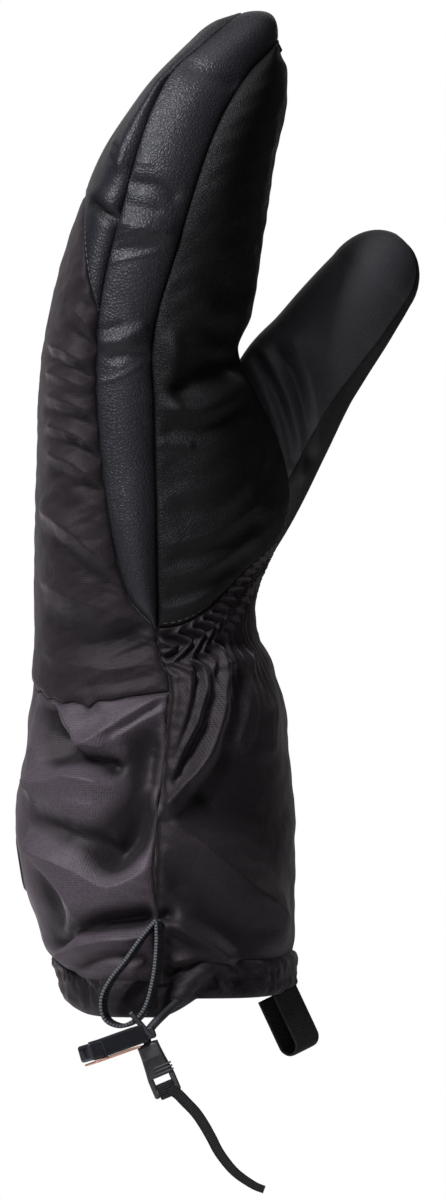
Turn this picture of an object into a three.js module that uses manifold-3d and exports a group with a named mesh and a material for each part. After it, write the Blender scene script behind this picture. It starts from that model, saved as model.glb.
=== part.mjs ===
// Heated ski mitten for the right hand, with a long gauntlet cuff, in millimetres, +Z up.
// The fingertips point up, the palm faces +X and the thumb side is +Y.
// The origin is the middle of the wrist hollow, where a worn mitten sits on the hand.

import * as THREE from 'three';
import { mergeVertices } from 'three/addons/utils/BufferGeometryUtils.js';
import Module from 'manifold-3d';

const wasm = await Module();
wasm.setup();

// Hand sizes
const handLength = 226; // wrist to fingertip
const handDepth = 92; // back of the hand to the ball of the thumb
const handBreadth = 112; // little-finger side to thumb side
const handWall = 4.5; // padded leather and ripstop
const wristBreadth = 101;

// Cuff sizes
const cuffLength = 134.5; // wrist to the lowest point of the mouth
const cuffFlare = 20; // how much deeper the cuff is than the wrist
const cuffBreadth = 124;
const cuffWall = 1.8;
const cuffTuck = 2.6; // how far the cuff sits under the edge of the padded back
const hemHeight = 13.5;
const hemWall = 4.2;
const hemPuff = 1.0;

// Thumb sizes
const thumbReach = 118; // along the thumb, from inside the ball of the thumb to the tip
const thumbRadius = 22;
const thumbWall = 4.0;
const thumbSideShift = 21; // from the middle of the palm towards the thumb side
const thumbFlatness = 1.03; // breadth of the thumb over its depth

// Trim sizes
const webbing = 1.2; // thickness of the keeper loop, tail and tag
const keeperWidth = 6.0;
const cordDiameter = 2.9;
const tailWidth = 4.0;
const tagWidth = 13;
const tagDrop = 21;
const tagSpread = 8;
const tagRise = 6; // of its ends, before they are cut along the casing
const tagTurn = 48; // degrees, from facing the little-finger side
const tagLean = 25; // degrees, towards the palm
const switchDiameter = 21;
const switchHeight = 1.8;
const lockLength = 24;
const lockHeight = 6.6;
const lockDepth = 9.6;
const lockTurn = 30; // degrees, its end towards the little-finger side
const lockRise = 19; // degrees above level, at the end that grips the cord
const neckLength = 6.4;
const neckHeight = 4.4;
const armLength = 11.5;
const armThickness = 1.8;
const armTurn = 49; // degrees, its end up
const linerLength = 19;
const linerThickness = 0.8;
const pullLength = 19.5;
const pullWidth = 7.8;
const pullFootWidth = 10;
const pullDepth = 4.2;
const pullLean = 23; // degrees from hanging straight, towards the palm
const pullWaist = 0.4; // how far the pull narrows in the middle of its length
const footHeight = 3.4;
const ribDepth = 0.7;
const ribThickness = 0.75;
const ribPitch = 1.3;
const ribRise = 5.0; // of the lowest rib above the foot
const socketDepth = 9;
const socketHeight = 6;
const eyeWidth = 7;
const eyeHeight = 4.2;
const barHeight = 2.8; // of the pull below its eye
const bandWidth = 6.2; // of the tail where it wraps the bar
const corner = 0.8; // cut off the edges of moulded pieces
const moulded = 0.8; // how far the parts of a moulded piece run into each other

const clearance = 0.3; // between pieces that touch
const seamGap = 0.5; // between two padded panels, at their seam
const halfTurn = Math.PI;
const degrees = (count) => (count / 180) * halfTurn;

// Heights that several pieces share
const wristSeam = 0.02 * handLength; // where the palm leather ends
const foldDrop = 0.138 * cuffLength; // where the padded back ends, at the side seam
const tipStart = 0.7; // share of the hand where its sides begin to round in
const palmarTop = 0.957; // height of the palm seam's top over that of the back seam's

// Sections of the hand, seen from the little-finger side. Height is a share of handLength, and the
// places of the back, the two seams of the side strip and the palm are shares of handDepth.
const handSections = [
  { height: 0.0, back: -0.438, dorsal: 0.047, palmar: 0.047, palm: 0.451 },
  { height: 0.02, back: -0.438, dorsal: 0.036, palmar: 0.047, palm: 0.435 },
  { height: 0.06, back: -0.438, dorsal: -0.055, palmar: 0.047, palm: 0.428 },
  { height: 0.1, back: -0.438, dorsal: -0.097, palmar: 0.045, palm: 0.454 },
  { height: 0.16, back: -0.436, dorsal: -0.133, palmar: 0.042, palm: 0.522 },
  { height: 0.22, back: -0.433, dorsal: -0.159, palmar: 0.039, palm: 0.563 },
  { height: 0.3, back: -0.427, dorsal: -0.182, palmar: 0.034, palm: 0.533 },
  { height: 0.38, back: -0.423, dorsal: -0.196, palmar: 0.032, palm: 0.449 },
  { height: 0.456, back: -0.407, dorsal: -0.193, palmar: 0.025, palm: 0.361 },
  { height: 0.52, back: -0.38, dorsal: -0.185, palmar: 0.05, palm: 0.411 },
  { height: 0.6, back: -0.332, dorsal: -0.15, palmar: 0.11, palm: 0.448 },
  { height: 0.7, back: -0.251, dorsal: -0.085, palmar: 0.183, palm: 0.48 },
  { height: 0.78, back: -0.165, dorsal: -0.033, palmar: 0.249, palm: 0.511 },
  { height: 0.84, back: -0.072, dorsal: 0.02, palmar: 0.314, palm: 0.545 },
  { height: 0.9, back: 0.041, dorsal: 0.102, palmar: 0.407, palm: 0.561 },
  { height: 0.95, back: 0.165, dorsal: 0.233, palmar: 0.505, palm: 0.543 },
  { height: 0.985, back: 0.265, dorsal: 0.33, palmar: 0.533, palm: 0.533 },
  { height: 1.0, back: 0.375, dorsal: 0.375, palmar: 0.533, palm: 0.533 },
];

// Sections of the cuff. Drop is a share of cuffLength below the wrist. Back, seam and palm say how far
// each stands outside the wrist section, as shares of cuffFlare. Width goes from wrist to cuff breadth.
const cuffSections = [
  { drop: 0.0, back: 0.0, seam: 0.0, palm: 0.0, width: 0.0 },
  { drop: 0.05, back: 0.005, seam: 0.065, palm: 0.205, width: 0.02 },
  { drop: 0.1, back: 0.01, seam: 0.19, palm: 0.29, width: 0.15 },
  { drop: 0.15, back: 0.02, seam: 0.225, palm: 0.375, width: 0.3 },
  { drop: 0.2, back: 0.075, seam: 0.185, palm: 0.445, width: 0.42 },
  { drop: 0.3, back: 0.18, seam: 0.13, palm: 0.505, width: 0.6 },
  { drop: 0.4, back: 0.285, seam: 0.065, palm: 0.575, width: 0.75 },
  { drop: 0.5, back: 0.33, seam: -0.03, palm: 0.625, width: 0.87 },
  { drop: 0.6, back: 0.26, seam: -0.04, palm: 0.6, width: 0.96 },
  { drop: 0.7, back: 0.07, seam: -0.015, palm: 0.59, width: 1.0 },
  { drop: 0.8, back: -0.15, seam: -0.01, palm: 0.635, width: 0.96 },
  { drop: 0.9, back: -0.42, seam: 0.0, palm: 0.66, width: 0.86 },
  { drop: 1.0, back: -0.5, seam: 0.0, palm: 0.66, width: 0.8 },
];

// Folds of the cuff, each along a line seen from its own side. The places are shares: across is of
// handDepth from the origin, drop is of cuffLength below the wrist. Reach is the half width of the
// fold and rise its height, negative for a valley, both as shares of cuffFlare.
const cuffFolds = [
  { side: 'near', across: [-0.4, -0.13], drop: [0.13, 0.24], reach: 0.28, rise: 0.16 },
  { side: 'near', across: [-0.13, 0.08], drop: [0.24, 0.16], reach: 0.24, rise: 0.15 },
  { side: 'near', across: [-0.36, -0.2], drop: [0.2, 0.3], reach: 0.4, rise: -0.2 },
  { side: 'near', across: [-0.37, -0.12], drop: [0.41, 0.44], reach: 0.4, rise: -0.14 },
  { side: 'near', across: [-0.44, -0.12], drop: [0.5, 0.57], reach: 0.5, rise: 0.18 },
  { side: 'near', across: [-0.12, 0.03], drop: [0.57, 0.53], reach: 0.4, rise: 0.14 },
  { side: 'near', across: [-0.33, 0.0], drop: [0.7, 0.67], reach: 0.3, rise: 0.12 },
  { side: 'near', across: [-0.3, 0.03], drop: [0.76, 0.73], reach: 0.26, rise: -0.2 },
  { side: 'near', across: [0.31, 0.1], drop: [0.05, 0.38], reach: 0.28, rise: 0.14 },
  { side: 'near', across: [0.4, 0.22], drop: [0.12, 0.42], reach: 0.32, rise: -0.12 },
  { side: 'near', across: [0.08, 0.37], drop: [0.48, 0.69], reach: 0.5, rise: 0.15 },
  { side: 'near', across: [0.1, 0.4], drop: [0.68, 0.76], reach: 0.3, rise: -0.14 },
  { side: 'far', across: [-0.38, -0.1], drop: [0.14, 0.26], reach: 0.32, rise: 0.15 },
  { side: 'far', across: [-0.36, -0.14], drop: [0.24, 0.34], reach: 0.4, rise: -0.16 },
  { side: 'far', across: [-0.4, 0.0], drop: [0.5, 0.6], reach: 0.5, rise: 0.16 },
  { side: 'far', across: [-0.3, 0.05], drop: [0.74, 0.78], reach: 0.3, rise: -0.16 },
  { side: 'far', across: [0.34, 0.12], drop: [0.06, 0.4], reach: 0.32, rise: 0.14 },
  { side: 'far', across: [0.42, 0.2], drop: [0.3, 0.55], reach: 0.4, rise: -0.12 },
  { side: 'far', across: [0.1, 0.4], drop: [0.55, 0.7], reach: 0.5, rise: 0.14 },
];

// Spine of the thumb. Out and up are shares of thumbReach from the origin, and girth of thumbRadius.
const thumbSections = [
  { out: 0.237, up: 0.29, girth: 0.8 },
  { out: 0.305, up: 0.475, girth: 0.97 },
  { out: 0.381, up: 0.647, girth: 1.0 },
  { out: 0.458, up: 0.792, girth: 0.97 },
  { out: 0.535, up: 0.892, girth: 0.885 },
  { out: 0.631, up: 1.019, girth: 0.82 },
  { out: 0.7, up: 1.113, girth: 0.745 },
  { out: 0.778, up: 1.236, girth: 0.6 },
];

// Grid counts
const palmColumns = 16;
const backColumns = 14;
const stripColumns = 3;
const backRows = 11;
const capRows = 11;
const pleats = 14; // across the palm half of the wrist elastic
const wristRows = 4;
const cuffRows = 12;
const thumbColumns = 12;
const thumbStripColumns = 3;

const leather = new THREE.MeshStandardMaterial({ color: 0x2b2b30, roughness: 0.5, metalness: 0 });
const palmLeather = new THREE.MeshStandardMaterial({ color: 0x151416, roughness: 0.55, metalness: 0 });
const ripstop = new THREE.MeshStandardMaterial({ color: 0x2e2728, roughness: 0.7, metalness: 0 });
const webMaterial = new THREE.MeshStandardMaterial({ color: 0x1a1a1c, roughness: 0.85, metalness: 0 });
const plastic = new THREE.MeshStandardMaterial({ color: 0x2d2e34, roughness: 0.45, metalness: 0 });
const rubber = new THREE.MeshStandardMaterial({ color: 0x414142, roughness: 0.65, metalness: 0 });
const copper = new THREE.MeshStandardMaterial({ color: 0xdcaa96, roughness: 0.4, metalness: 0.2 });

const mix = (a, b, share) => a + (b - a) * share;
const clamp = (value, low, high) => Math.min(Math.max(value, low), high);
const steps = (count) => Array.from({ length: count + 1 }, (_, i) => i / count);
const vec = (x, y, z) => new THREE.Vector3(x, y, z);

// Smooth reading of one column of a table whose rows are in the order of the key.
function read(table, key, column, place) {
  const last = table.length - 1;
  const at = clamp(place, table[0][key], table[last][key]);
  let i = 0;
  while (i < last - 1 && table[i + 1][key] < at) i += 1;
  const slope = (j) => {
    const a = table[Math.max(j - 1, 0)];
    const b = table[Math.min(j + 1, last)];
    return (b[column] - a[column]) / (b[key] - a[key]);
  };
  const a = table[i];
  const b = table[i + 1];
  const span = b[key] - a[key];
  const t = (at - a[key]) / span;
  const square = t * t;
  const cube = square * t;
  return (
    (2 * cube - 3 * square + 1) * a[column] +
    (cube - 2 * square + t) * span * slope(i) +
    (3 * square - 2 * cube) * b[column] +
    (cube - square) * span * slope(i + 1)
  );
}

const handRead = (column, height) => handDepth * read(handSections, 'height', column, height);
const cuffRead = (column, drop) => cuffFlare * read(cuffSections, 'drop', column, drop);

// Half the breadth at a share of the hand's height.
function handHalf(height) {
  const fill = Math.sin((Math.min(height, 0.2) / 0.2) * (halfTurn / 2));
  const half = mix(wristBreadth, handBreadth, fill) / 2;
  const rounding = clamp((height - tipStart) / (1 - tipStart), 0, 1);
  return half * (1 - rounding ** 2) ** 0.45;
}

// The section at a height in millimetres: the back, side seam and palm places and the half breadth.
function sectionAt(z) {
  if (z >= 0) {
    const height = z / handLength;
    return {
      back: handRead('back', height),
      seam: handRead('palmar', height),
      palm: handRead('palm', height),
      half: handHalf(height),
    };
  }
  const drop = -z / cuffLength;
  const wrist = sectionAt(0);
  return {
    back: wrist.back - cuffRead('back', drop),
    seam: wrist.seam + cuffRead('seam', drop),
    palm: wrist.palm + cuffRead('palm', drop),
    half: mix(wristBreadth, cuffBreadth, read(cuffSections, 'drop', 'width', drop)) / 2,
  };
}

// An arc across the mitten from its near edge, at share 0, over a crown to its far edge, at share 1.
function arcPoint(edge, crown, half, share, z, fullness) {
  const angle = (share - 0.5) * halfTurn;
  const lift = Math.max(Math.cos(angle), 0) ** fullness;
  return vec(mix(edge, crown, lift), half * Math.sin(angle), z);
}

const backFullness = 0.75;
const palmFullness = 0.68;

// Skin of the hand. Heights are shares of handLength on the back seam.
function backSkin(share, height) {
  const z = height * handLength;
  if (height < 0) return cuffSkin('back', share, z);
  const half = handHalf(height);
  return arcPoint(handRead('dorsal', height), handRead('back', height), half, share, z, backFullness);
}

function palmSkin(share, height) {
  const low = height * palmarTop;
  const z = low * handLength;
  const half = handHalf(height);
  return arcPoint(handRead('palmar', low), handRead('palm', low), half, share, z, palmFullness);
}

// Skin of the cuff, before its folds, with share 0 and 1 on the near and far side seams.
function cuffSkin(face, share, z) {
  const section = sectionAt(z);
  const fullness = face === 'back' ? backFullness : palmFullness;
  return arcPoint(section.seam, section[face], section.half, share, z, fullness);
}

// How far the folds lift the cuff at a point of its skin.
function foldLift(point) {
  const side = point.y < 0 ? 'near' : 'far';
  const breadth = Math.abs(point.y) / (cuffBreadth / 2);
  const away = Math.abs(point.x - sectionAt(point.z).seam) / cuffFlare;
  const drop = -point.z / cuffLength;
  const ends = Math.sin(clamp(drop / 0.85, 0, 1) * halfTurn) ** 0.4;
  let lift = 0;
  for (const fold of cuffFolds.filter((entry) => entry.side === side)) {
    const start = vec(fold.across[0] * handDepth, 0, -fold.drop[0] * cuffLength);
    const end = vec(fold.across[1] * handDepth, 0, -fold.drop[1] * cuffLength);
    const flat = vec(point.x, 0, point.z);
    const near = new THREE.Line3(start, end).closestPointToPoint(flat, true, vec(0, 0, 0));
    const distance = near.distanceTo(flat) / (fold.reach * cuffFlare);
    lift += fold.rise * cuffFlare * Math.exp(-(distance ** 2));
  }
  return lift * ends * clamp(breadth * 1.3, 0, 1) * clamp(away / 0.4, 0, 1);
}

// Pleats that the wrist elastic draws into the palm half, deepest at the wrist seam.
function pleatLift(column, z) {
  const crest = column % 2 === 0 ? 1 : -1;
  const fade = Math.exp(-(((wristSeam - z) / (0.16 * cuffLength)) ** 2));
  return crest * fade * 0.07 * cuffFlare;
}

const foldLine = (share) => {
  const angle = share * halfTurn;
  const dip = 0.035 * Math.abs(Math.sin(2 * angle)) - 0.03 * Math.sin(angle) ** 4;
  return -foldDrop - dip * cuffLength;
};

// The mouth hangs lowest at the sides and lifts towards the middle of the back. Its palm half is drawn
// up by the cord, all along.
const mouthLine = (face, share) => {
  const across = Math.sin(share * halfTurn);
  const lift = face === 'back' ? 0.055 * across ** 6 : 0.05 * Math.min(across * 6.4, 1) + 0.02 * across ** 6;
  return -cuffLength * (1 - lift);
};
const hemLine = (face, share) => mouthLine(face, share) + hemHeight;

const capEdge = (share) => mix(0.52, 0.71, Math.sin(share * halfTurn) ** 0.9);

// Height shares of the rows that the panels of the hand share along their seams.
const wristHeight = wristSeam / handLength / palmarTop;
const lowRows = steps(backRows).map((share) => mix(wristHeight, capEdge(0), share));
const tipRows = steps(capRows).map((share) => {
  const turn = mix(0, halfTurn / 2, share);
  const straight = mix(capEdge(0), 1, share);
  return mix(straight, capEdge(0) + (1 - capEdge(0)) * Math.sin(turn), 0.75);
});
const handRows = [...lowRows, ...tipRows.slice(1)];

const grid = (rows, columns, place) =>
  rows.map((row, i) => steps(columns).map((share, j) => place(share, row, i, j)));

// Outer grids of the panels. A row runs from the near side to the far side.
const palmGrid = grid(handRows, palmColumns, palmSkin);

const capGrid = grid(tipRows, backColumns, (share, row) => {
  const rise = (1 - row) / (1 - capEdge(0));
  return backSkin(share, 1 - rise * (1 - capEdge(share)));
});

const wristSteps = steps(wristRows).map((share) => mix(wristSeam, -foldDrop, share));
const backPanelRows = [...wristSteps.slice(1).reverse().map((z) => z / handLength), ...lowRows];
const backGrid = grid(backPanelRows, backColumns, (share, row) => {
  const bottom = foldLine(share) / handLength;
  const climb = (row - backPanelRows[0]) / (capEdge(0) - backPanelRows[0]);
  return backSkin(share, mix(bottom, capEdge(share), climb));
});

// The strip follows both seams up the near side, over the tip and down the far side.
const stripPuff = 0.03 * handBreadth;
const tipPuff = 0.022 * handBreadth; // added over the fingertips
const stripRoute = [
  ...handRows.map((height) => ({ height, share: 0 })),
  ...handRows.slice(0, -1).reverse().map((height) => ({ height, share: 1 })),
];
const stripGrid = stripRoute.map(({ height, share }) => {
  const dorsal = backSkin(share, height);
  const palmar = palmSkin(share, height);
  const up = clamp((height - tipStart) / (1 - tipStart), 0, 1) * (halfTurn / 2);
  const side = share === 0 ? -1 : 1;
  const outward = vec(0.66 * Math.sin(up) ** 3, side * Math.cos(up), Math.sin(up)).normalize();
  const room = clamp(dorsal.distanceTo(palmar) / (0.14 * handDepth), 0, 1);
  const puff = (stripPuff + tipPuff * Math.sin(up) ** 4) * room;
  return steps(stripColumns).map((across) =>
    dorsal.clone().lerp(palmar, across).addScaledVector(outward, puff * Math.sin(across * halfTurn)),
  );
});

const lifted = (point, axis, lift) => {
  const outward = vec(point.x - axis, point.y, 0).normalize();
  return point.addScaledVector(outward, lift);
};

const sideRows = [
  ...wristSteps,
  ...steps(cuffRows).slice(1).map((share) => mix(-foldDrop, hemLine('palm', 0), share)),
];
const gauntletPalmColumns = 2 * pleats;
const gauntletPalmGrid = grid(sideRows, gauntletPalmColumns, (share, row, i, j) => {
  const along = (wristSeam - row) / (wristSeam - hemLine('palm', 0));
  const z = mix(wristSeam, hemLine('palm', share), along);
  const point = z > 0 ? palmSkin(share, z / handLength / palmarTop) : cuffSkin('palm', share, z);
  const edge = j === 0 || j === gauntletPalmColumns;
  return lifted(point, sectionAt(z).seam, foldLift(point) + (edge ? 0 : pleatLift(j, z)));
});

const gauntletBackGrid = grid(sideRows.slice(wristRows), backColumns, (share, row) => {
  const along = (-foldDrop - row) / (-foldDrop - hemLine('back', 0));
  const z = mix(foldLine(share), hemLine('back', share), along);
  const point = cuffSkin('back', share, z);
  const tuck = cuffTuck * Math.exp(-((along / 0.16) ** 2)) * Math.sin(share * halfTurn) ** 0.5;
  return lifted(point, sectionAt(z).seam, foldLift(point) - tuck);
});

// One normal at each place, shared by all the panels that meet there.
const placeKey = (point) => point.toArray().map((value) => value.toFixed(3)).join(' ');
function addNormals(normals, points, outwardFrom) {
  const add = (corners) => {
    const [a, b, c] = corners;
    const normal = b.clone().sub(a).cross(c.clone().sub(a));
    const middle = a.clone().add(b).add(c).divideScalar(3);
    if (normal.dot(middle.sub(outwardFrom(a))) < 0) normal.negate();
    for (const corner of corners) {
      const key = placeKey(corner);
      if (!normals.has(key)) normals.set(key, vec(0, 0, 0));
      normals.get(key).add(normal);
    }
  };
  for (let i = 0; i + 1 < points.length; i += 1) {
    for (let j = 0; j + 1 < points[i].length; j += 1) {
      add([points[i][j], points[i][j + 1], points[i + 1][j + 1]]);
      add([points[i][j], points[i + 1][j + 1], points[i + 1][j]]);
    }
  }
}

const handAxis = (point) => {
  const height = clamp(point.z / handLength, 0, 0.9);
  const middle = (handRead('back', height) + handRead('palm', height)) / 2;
  const reach = Math.max(handHalf(height) - handDepth / 3, 0);
  return vec(middle, clamp(point.y, -reach, reach), height * handLength);
};
const cuffAxis = (point) => {
  const section = sectionAt(Math.min(point.z, 0));
  return vec((section.back + section.palm) / 2, 0, point.z);
};

const skinNormals = new Map();
for (const points of [palmGrid, capGrid, backGrid, stripGrid]) addNormals(skinNormals, points, handAxis);
for (const points of [gauntletPalmGrid, gauntletBackGrid]) addNormals(skinNormals, points, cuffAxis);

// Below the wrist seam the walls are level, so that the ends of two walls meet flat. At the side seams
// they face straight out, which leaves the strip's narrow point its width all through the wall.
function normalAt(normals, point) {
  const normal = normals.get(placeKey(point)).clone();
  if (normals === skinNormals && point.z < wristSeam + clearance) {
    normal.z = 0;
    if (Math.abs(point.y) > 0.98 * sectionAt(point.z).half) normal.set(0, Math.sign(point.y), 0);
  }
  return normal.normalize();
}

const mapGrid = (points, change) => points.map((row, i) => row.map((point, j) => change(point, i, j)));

// Moves the edges of a grid in by half the gap that two panels leave at a seam.
function pullIn(points, normals) {
  const rows = points.length - 1;
  const columns = points[0].length - 1;
  return mapGrid(points, (point, i, j) => {
    const normal = normalAt(normals, point);
    const moved = point.clone();
    const pull = (neighbour) => {
      const step = neighbour.clone().sub(point);
      step.addScaledVector(normal, -step.dot(normal));
      moved.add(step.setLength(Math.min(seamGap / 2, step.length() / 3)));
    };
    if (i === 0) pull(points[1][j]);
    if (i === rows) pull(points[rows - 1][j]);
    if (j === 0 && point.distanceTo(points[i][1]) > clearance) pull(points[i][1]);
    if (j === columns && point.distanceTo(points[i][j - 1]) > clearance) pull(points[i][j - 1]);
    return moved;
  });
}

function insideOf(points, normals, wall) {
  const edges = pullIn(points, normals);
  return mapGrid(points, (point, i, j) => edges[i][j].addScaledVector(normalAt(normals, point), -wall));
}

// A pole is a last row that comes to one point. It stands one clearance back from the strip.
function closePoles(points) {
  const row = points[points.length - 1];
  const spread = Math.max(...row.map((point) => point.distanceTo(row[0])));
  if (spread > 2.2 * clearance) return points;
  const half = Math.floor(row.length / 2);
  const step = points[points.length - 2][half].clone().sub(row[half]).setLength(clearance);
  return [...points.slice(0, -1), row.map(() => row[half].clone().add(step))];
}

// Geometry from points and triangles, with shared points merged and collapsed triangles dropped.
function geometryOf(points, triangles) {
  const raw = new THREE.BufferGeometry();
  raw.setAttribute('position', new THREE.Float32BufferAttribute(points.flatMap((p) => p.toArray()), 3));
  raw.setIndex(triangles);
  return tidy(raw);
}

function tidy(raw) {
  const bare = raw.clone();
  bare.deleteAttribute('normal');
  bare.deleteAttribute('uv');
  const merged = mergeVertices(bare, 1e-4);
  const index = Array.from(merged.index.array);
  const kept = [];
  for (let i = 0; i < index.length; i += 3) {
    const [a, b, c] = index.slice(i, i + 3);
    if (a !== b && b !== c && a !== c) kept.push(a, b, c);
  }
  merged.setIndex(kept);
  if (volumeOf(merged) < 0) merged.setIndex(kept.reverse());
  merged.computeVertexNormals();
  return merged;
}

function volumeOf(geometry) {
  const place = geometry.attributes.position;
  const index = geometry.index.array;
  const corner = (i) => vec(place.getX(index[i]), place.getY(index[i]), place.getZ(index[i]));
  let sum = 0;
  for (let i = 0; i < index.length; i += 3) sum += corner(i).dot(corner(i + 1).cross(corner(i + 2)));
  return sum / 6;
}

// A closed wall between an outer and an inner grid. A ring closes on itself along its rows.
function wallGeometry(outer, inner, ring = false) {
  const rows = outer.length;
  const columns = outer[0].length;
  const layer = rows * columns;
  const at = (side, i, j) => side * layer + i * columns + (j % columns);
  const triangles = [];
  const quad = (a, b, c, d) => triangles.push(a, b, c, a, c, d);
  const lastColumn = ring ? columns : columns - 1;
  for (let i = 0; i + 1 < rows; i += 1) {
    for (let j = 0; j < lastColumn; j += 1) {
      quad(at(0, i, j), at(0, i, j + 1), at(0, i + 1, j + 1), at(0, i + 1, j));
      quad(at(1, i, j), at(1, i + 1, j), at(1, i + 1, j + 1), at(1, i, j + 1));
    }
  }
  for (let j = 0; j < lastColumn; j += 1) {
    quad(at(0, 0, j), at(1, 0, j), at(1, 0, j + 1), at(0, 0, j + 1));
    quad(at(0, rows - 1, j), at(0, rows - 1, j + 1), at(1, rows - 1, j + 1), at(1, rows - 1, j));
  }
  // Both walls at a seam are split from the lower outer corner to the upper inner one.
  const end = (low, lowIn, highIn, high, rising) =>
    rising ? quad(low, high, highIn, lowIn) : quad(high, highIn, lowIn, low);
  for (let i = 0; !ring && i + 1 < rows; i += 1) {
    const [first, last] = [0, columns - 1];
    const rising = outer[i + 1][0].z > outer[i][0].z;
    end(at(0, i, first), at(1, i, first), at(1, i + 1, first), at(0, i + 1, first), rising);
    end(at(0, i + 1, last), at(1, i + 1, last), at(1, i, last), at(0, i, last), !rising);
  }
  return geometryOf([...outer.flat(), ...inner.flat()], triangles);
}

function panelGeometry(points, normals, wall) {
  return wallGeometry(closePoles(pullIn(points, normals)), closePoles(insideOf(points, normals, wall)));
}

function solidOf(geometry) {
  const mesh = new wasm.Mesh({
    numProp: 3,
    vertProperties: new Float32Array(geometry.attributes.position.array),
    triVerts: new Uint32Array(geometry.index.array),
  });
  return new wasm.Manifold(mesh);
}

function geometryFrom(solid) {
  const mesh = solid.getMesh();
  const raw = new THREE.BufferGeometry();
  raw.setAttribute('position', new THREE.BufferAttribute(new Float32Array(mesh.vertProperties), 3));
  raw.setIndex(Array.from(mesh.triVerts));
  return tidy(raw);
}

const mitten = new THREE.Group();
function addPiece(name, geometry, material, parent = mitten) {
  const mesh = new THREE.Mesh(geometry, material);
  mesh.name = name;
  parent.add(mesh);
  return mesh;
}

// Thumb: a tube along its spine, split into a broad front panel and a narrow back strip.
const thumbNormals = new Map();
const thumbRows = [0, 0.14, 0.28, 0.39, 0.5, 0.6, 0.7, 0.79, 0.86, 0.92, 0.96, 0.985, 1];
const thumbTable = thumbSections.map((entry, i) => ({ ...entry, along: i / (thumbSections.length - 1) }));
const thumbRead = (column, along) => read(thumbTable, 'along', column, along);

function thumbSkin(turn, along) {
  const place = (at) => vec(thumbRead('out', at), 0, thumbRead('up', at)).multiplyScalar(thumbReach);
  const centre = place(along).add(vec(0, thumbSideShift, 0));
  const ahead = place(Math.min(along + 0.05, 1)).sub(place(Math.max(along - 0.05, 0))).normalize();
  const right = vec(ahead.z, 0, -ahead.x);
  const rounding = clamp((1 - along) / 0.16, 0, 1);
  const girth = thumbRadius * Math.max(thumbRead('girth', Math.min(along, 0.84)), 0);
  const radius = girth * Math.sqrt(1 - (1 - rounding) ** 2);
  return centre
    .addScaledVector(right, radius * Math.cos(turn))
    .add(vec(0, radius * thumbFlatness * Math.sin(turn), 0));
}

const thumbSeamTurn = (along) => mix(0.9, 0.3, along ** 1.5);
const thumbFrontGrid = grid(thumbRows, thumbColumns, (share, along) => {
  const turn = thumbSeamTurn(along);
  return thumbSkin(mix(turn, 2 * halfTurn - turn, share), along);
});
const thumbBackGrid = grid(thumbRows, thumbStripColumns, (share, along) => {
  const turn = thumbSeamTurn(along);
  return thumbSkin(mix(-turn, turn, share), along);
});
const thumbAxis = (point) => {
  const along = thumbRows.reduce((best, at) =>
    thumbSpot(at).distanceTo(point) < thumbSpot(best).distanceTo(point) ? at : best,
  );
  return thumbSpot(Math.min(along, 0.9));
};
function thumbSpot(along) {
  const spot = vec(thumbRead('out', along), 0, thumbRead('up', along)).multiplyScalar(thumbReach);
  return spot.add(vec(0, thumbSideShift, 0));
}
for (const points of [thumbFrontGrid, thumbBackGrid]) addNormals(thumbNormals, points, thumbAxis);

// The thumb stands on the palm's skin, and its hollow opens the palm.
const grown = (points, normals, by) =>
  mapGrid(points, (point) => point.clone().addScaledVector(normalAt(normals, point), by));
const palmCore = wallGeometry(
  grown(palmGrid, skinNormals, clearance),
  mapGrid(palmGrid, (point) => vec(Math.min(point.x, 0) - handDepth / 8, point.y * 0.9, point.z)),
);
const palmCoreSolid = solidOf(palmCore);

const hollowRows = thumbRows.slice(0, -2);
const hollowGrid = grid(hollowRows, 24, (share, along) => {
  const turn = share * 2 * halfTurn;
  const centre = thumbSpot(along);
  const skin = thumbSkin(turn, along);
  return skin.lerp(centre, Math.min(thumbWall / Math.max(skin.distanceTo(centre), thumbWall), 0.95));
});
function cappedTube(points) {
  const rows = points.length;
  const ring = points.map((row) => row.slice(0, -1));
  const columns = ring[0].length;
  const triangles = [];
  for (let i = 0; i + 1 < rows; i += 1) {
    for (let j = 0; j < columns; j += 1) {
      const a = i * columns + j;
      const b = i * columns + ((j + 1) % columns);
      triangles.push(a, b, b + columns, a, b + columns, a + columns);
    }
  }
  const middle = (row) => row.reduce((sum, p) => sum.add(p), vec(0, 0, 0)).divideScalar(columns);
  const low = rows * columns;
  for (let j = 0; j < columns; j += 1) {
    const next = (j + 1) % columns;
    triangles.push(next, j, low, (rows - 1) * columns + j, (rows - 1) * columns + next, low + 1);
  }
  return geometryOf([...ring.flat(), middle(ring[0]), middle(ring[rows - 1])], triangles);
}
const thumbHollow = solidOf(cappedTube(hollowGrid));

const palmPanel = solidOf(panelGeometry(palmGrid, skinNormals, handWall)).subtract(thumbHollow);
addPiece('palm_panel', geometryFrom(palmPanel), palmLeather);
addPiece('side_strip', panelGeometry(stripGrid, skinNormals, handWall), leather);
addPiece('back_panel', panelGeometry(backGrid, skinNormals, handWall), ripstop);
addPiece('fingertip_cap', panelGeometry(capGrid, skinNormals, handWall), leather);

const thumbPanel = (points) =>
  solidOf(panelGeometry(points, thumbNormals, thumbWall)).subtract(palmCoreSolid);
addPiece('thumb_front', geometryFrom(thumbPanel(thumbFrontGrid)), palmLeather);
addPiece('thumb_back', geometryFrom(thumbPanel(thumbBackGrid)), palmLeather);

addPiece('gauntlet_palm', panelGeometry(gauntletPalmGrid, skinNormals, cuffWall), ripstop);
addPiece('gauntlet_back', panelGeometry(gauntletBackGrid, skinNormals, cuffWall), ripstop);

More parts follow.
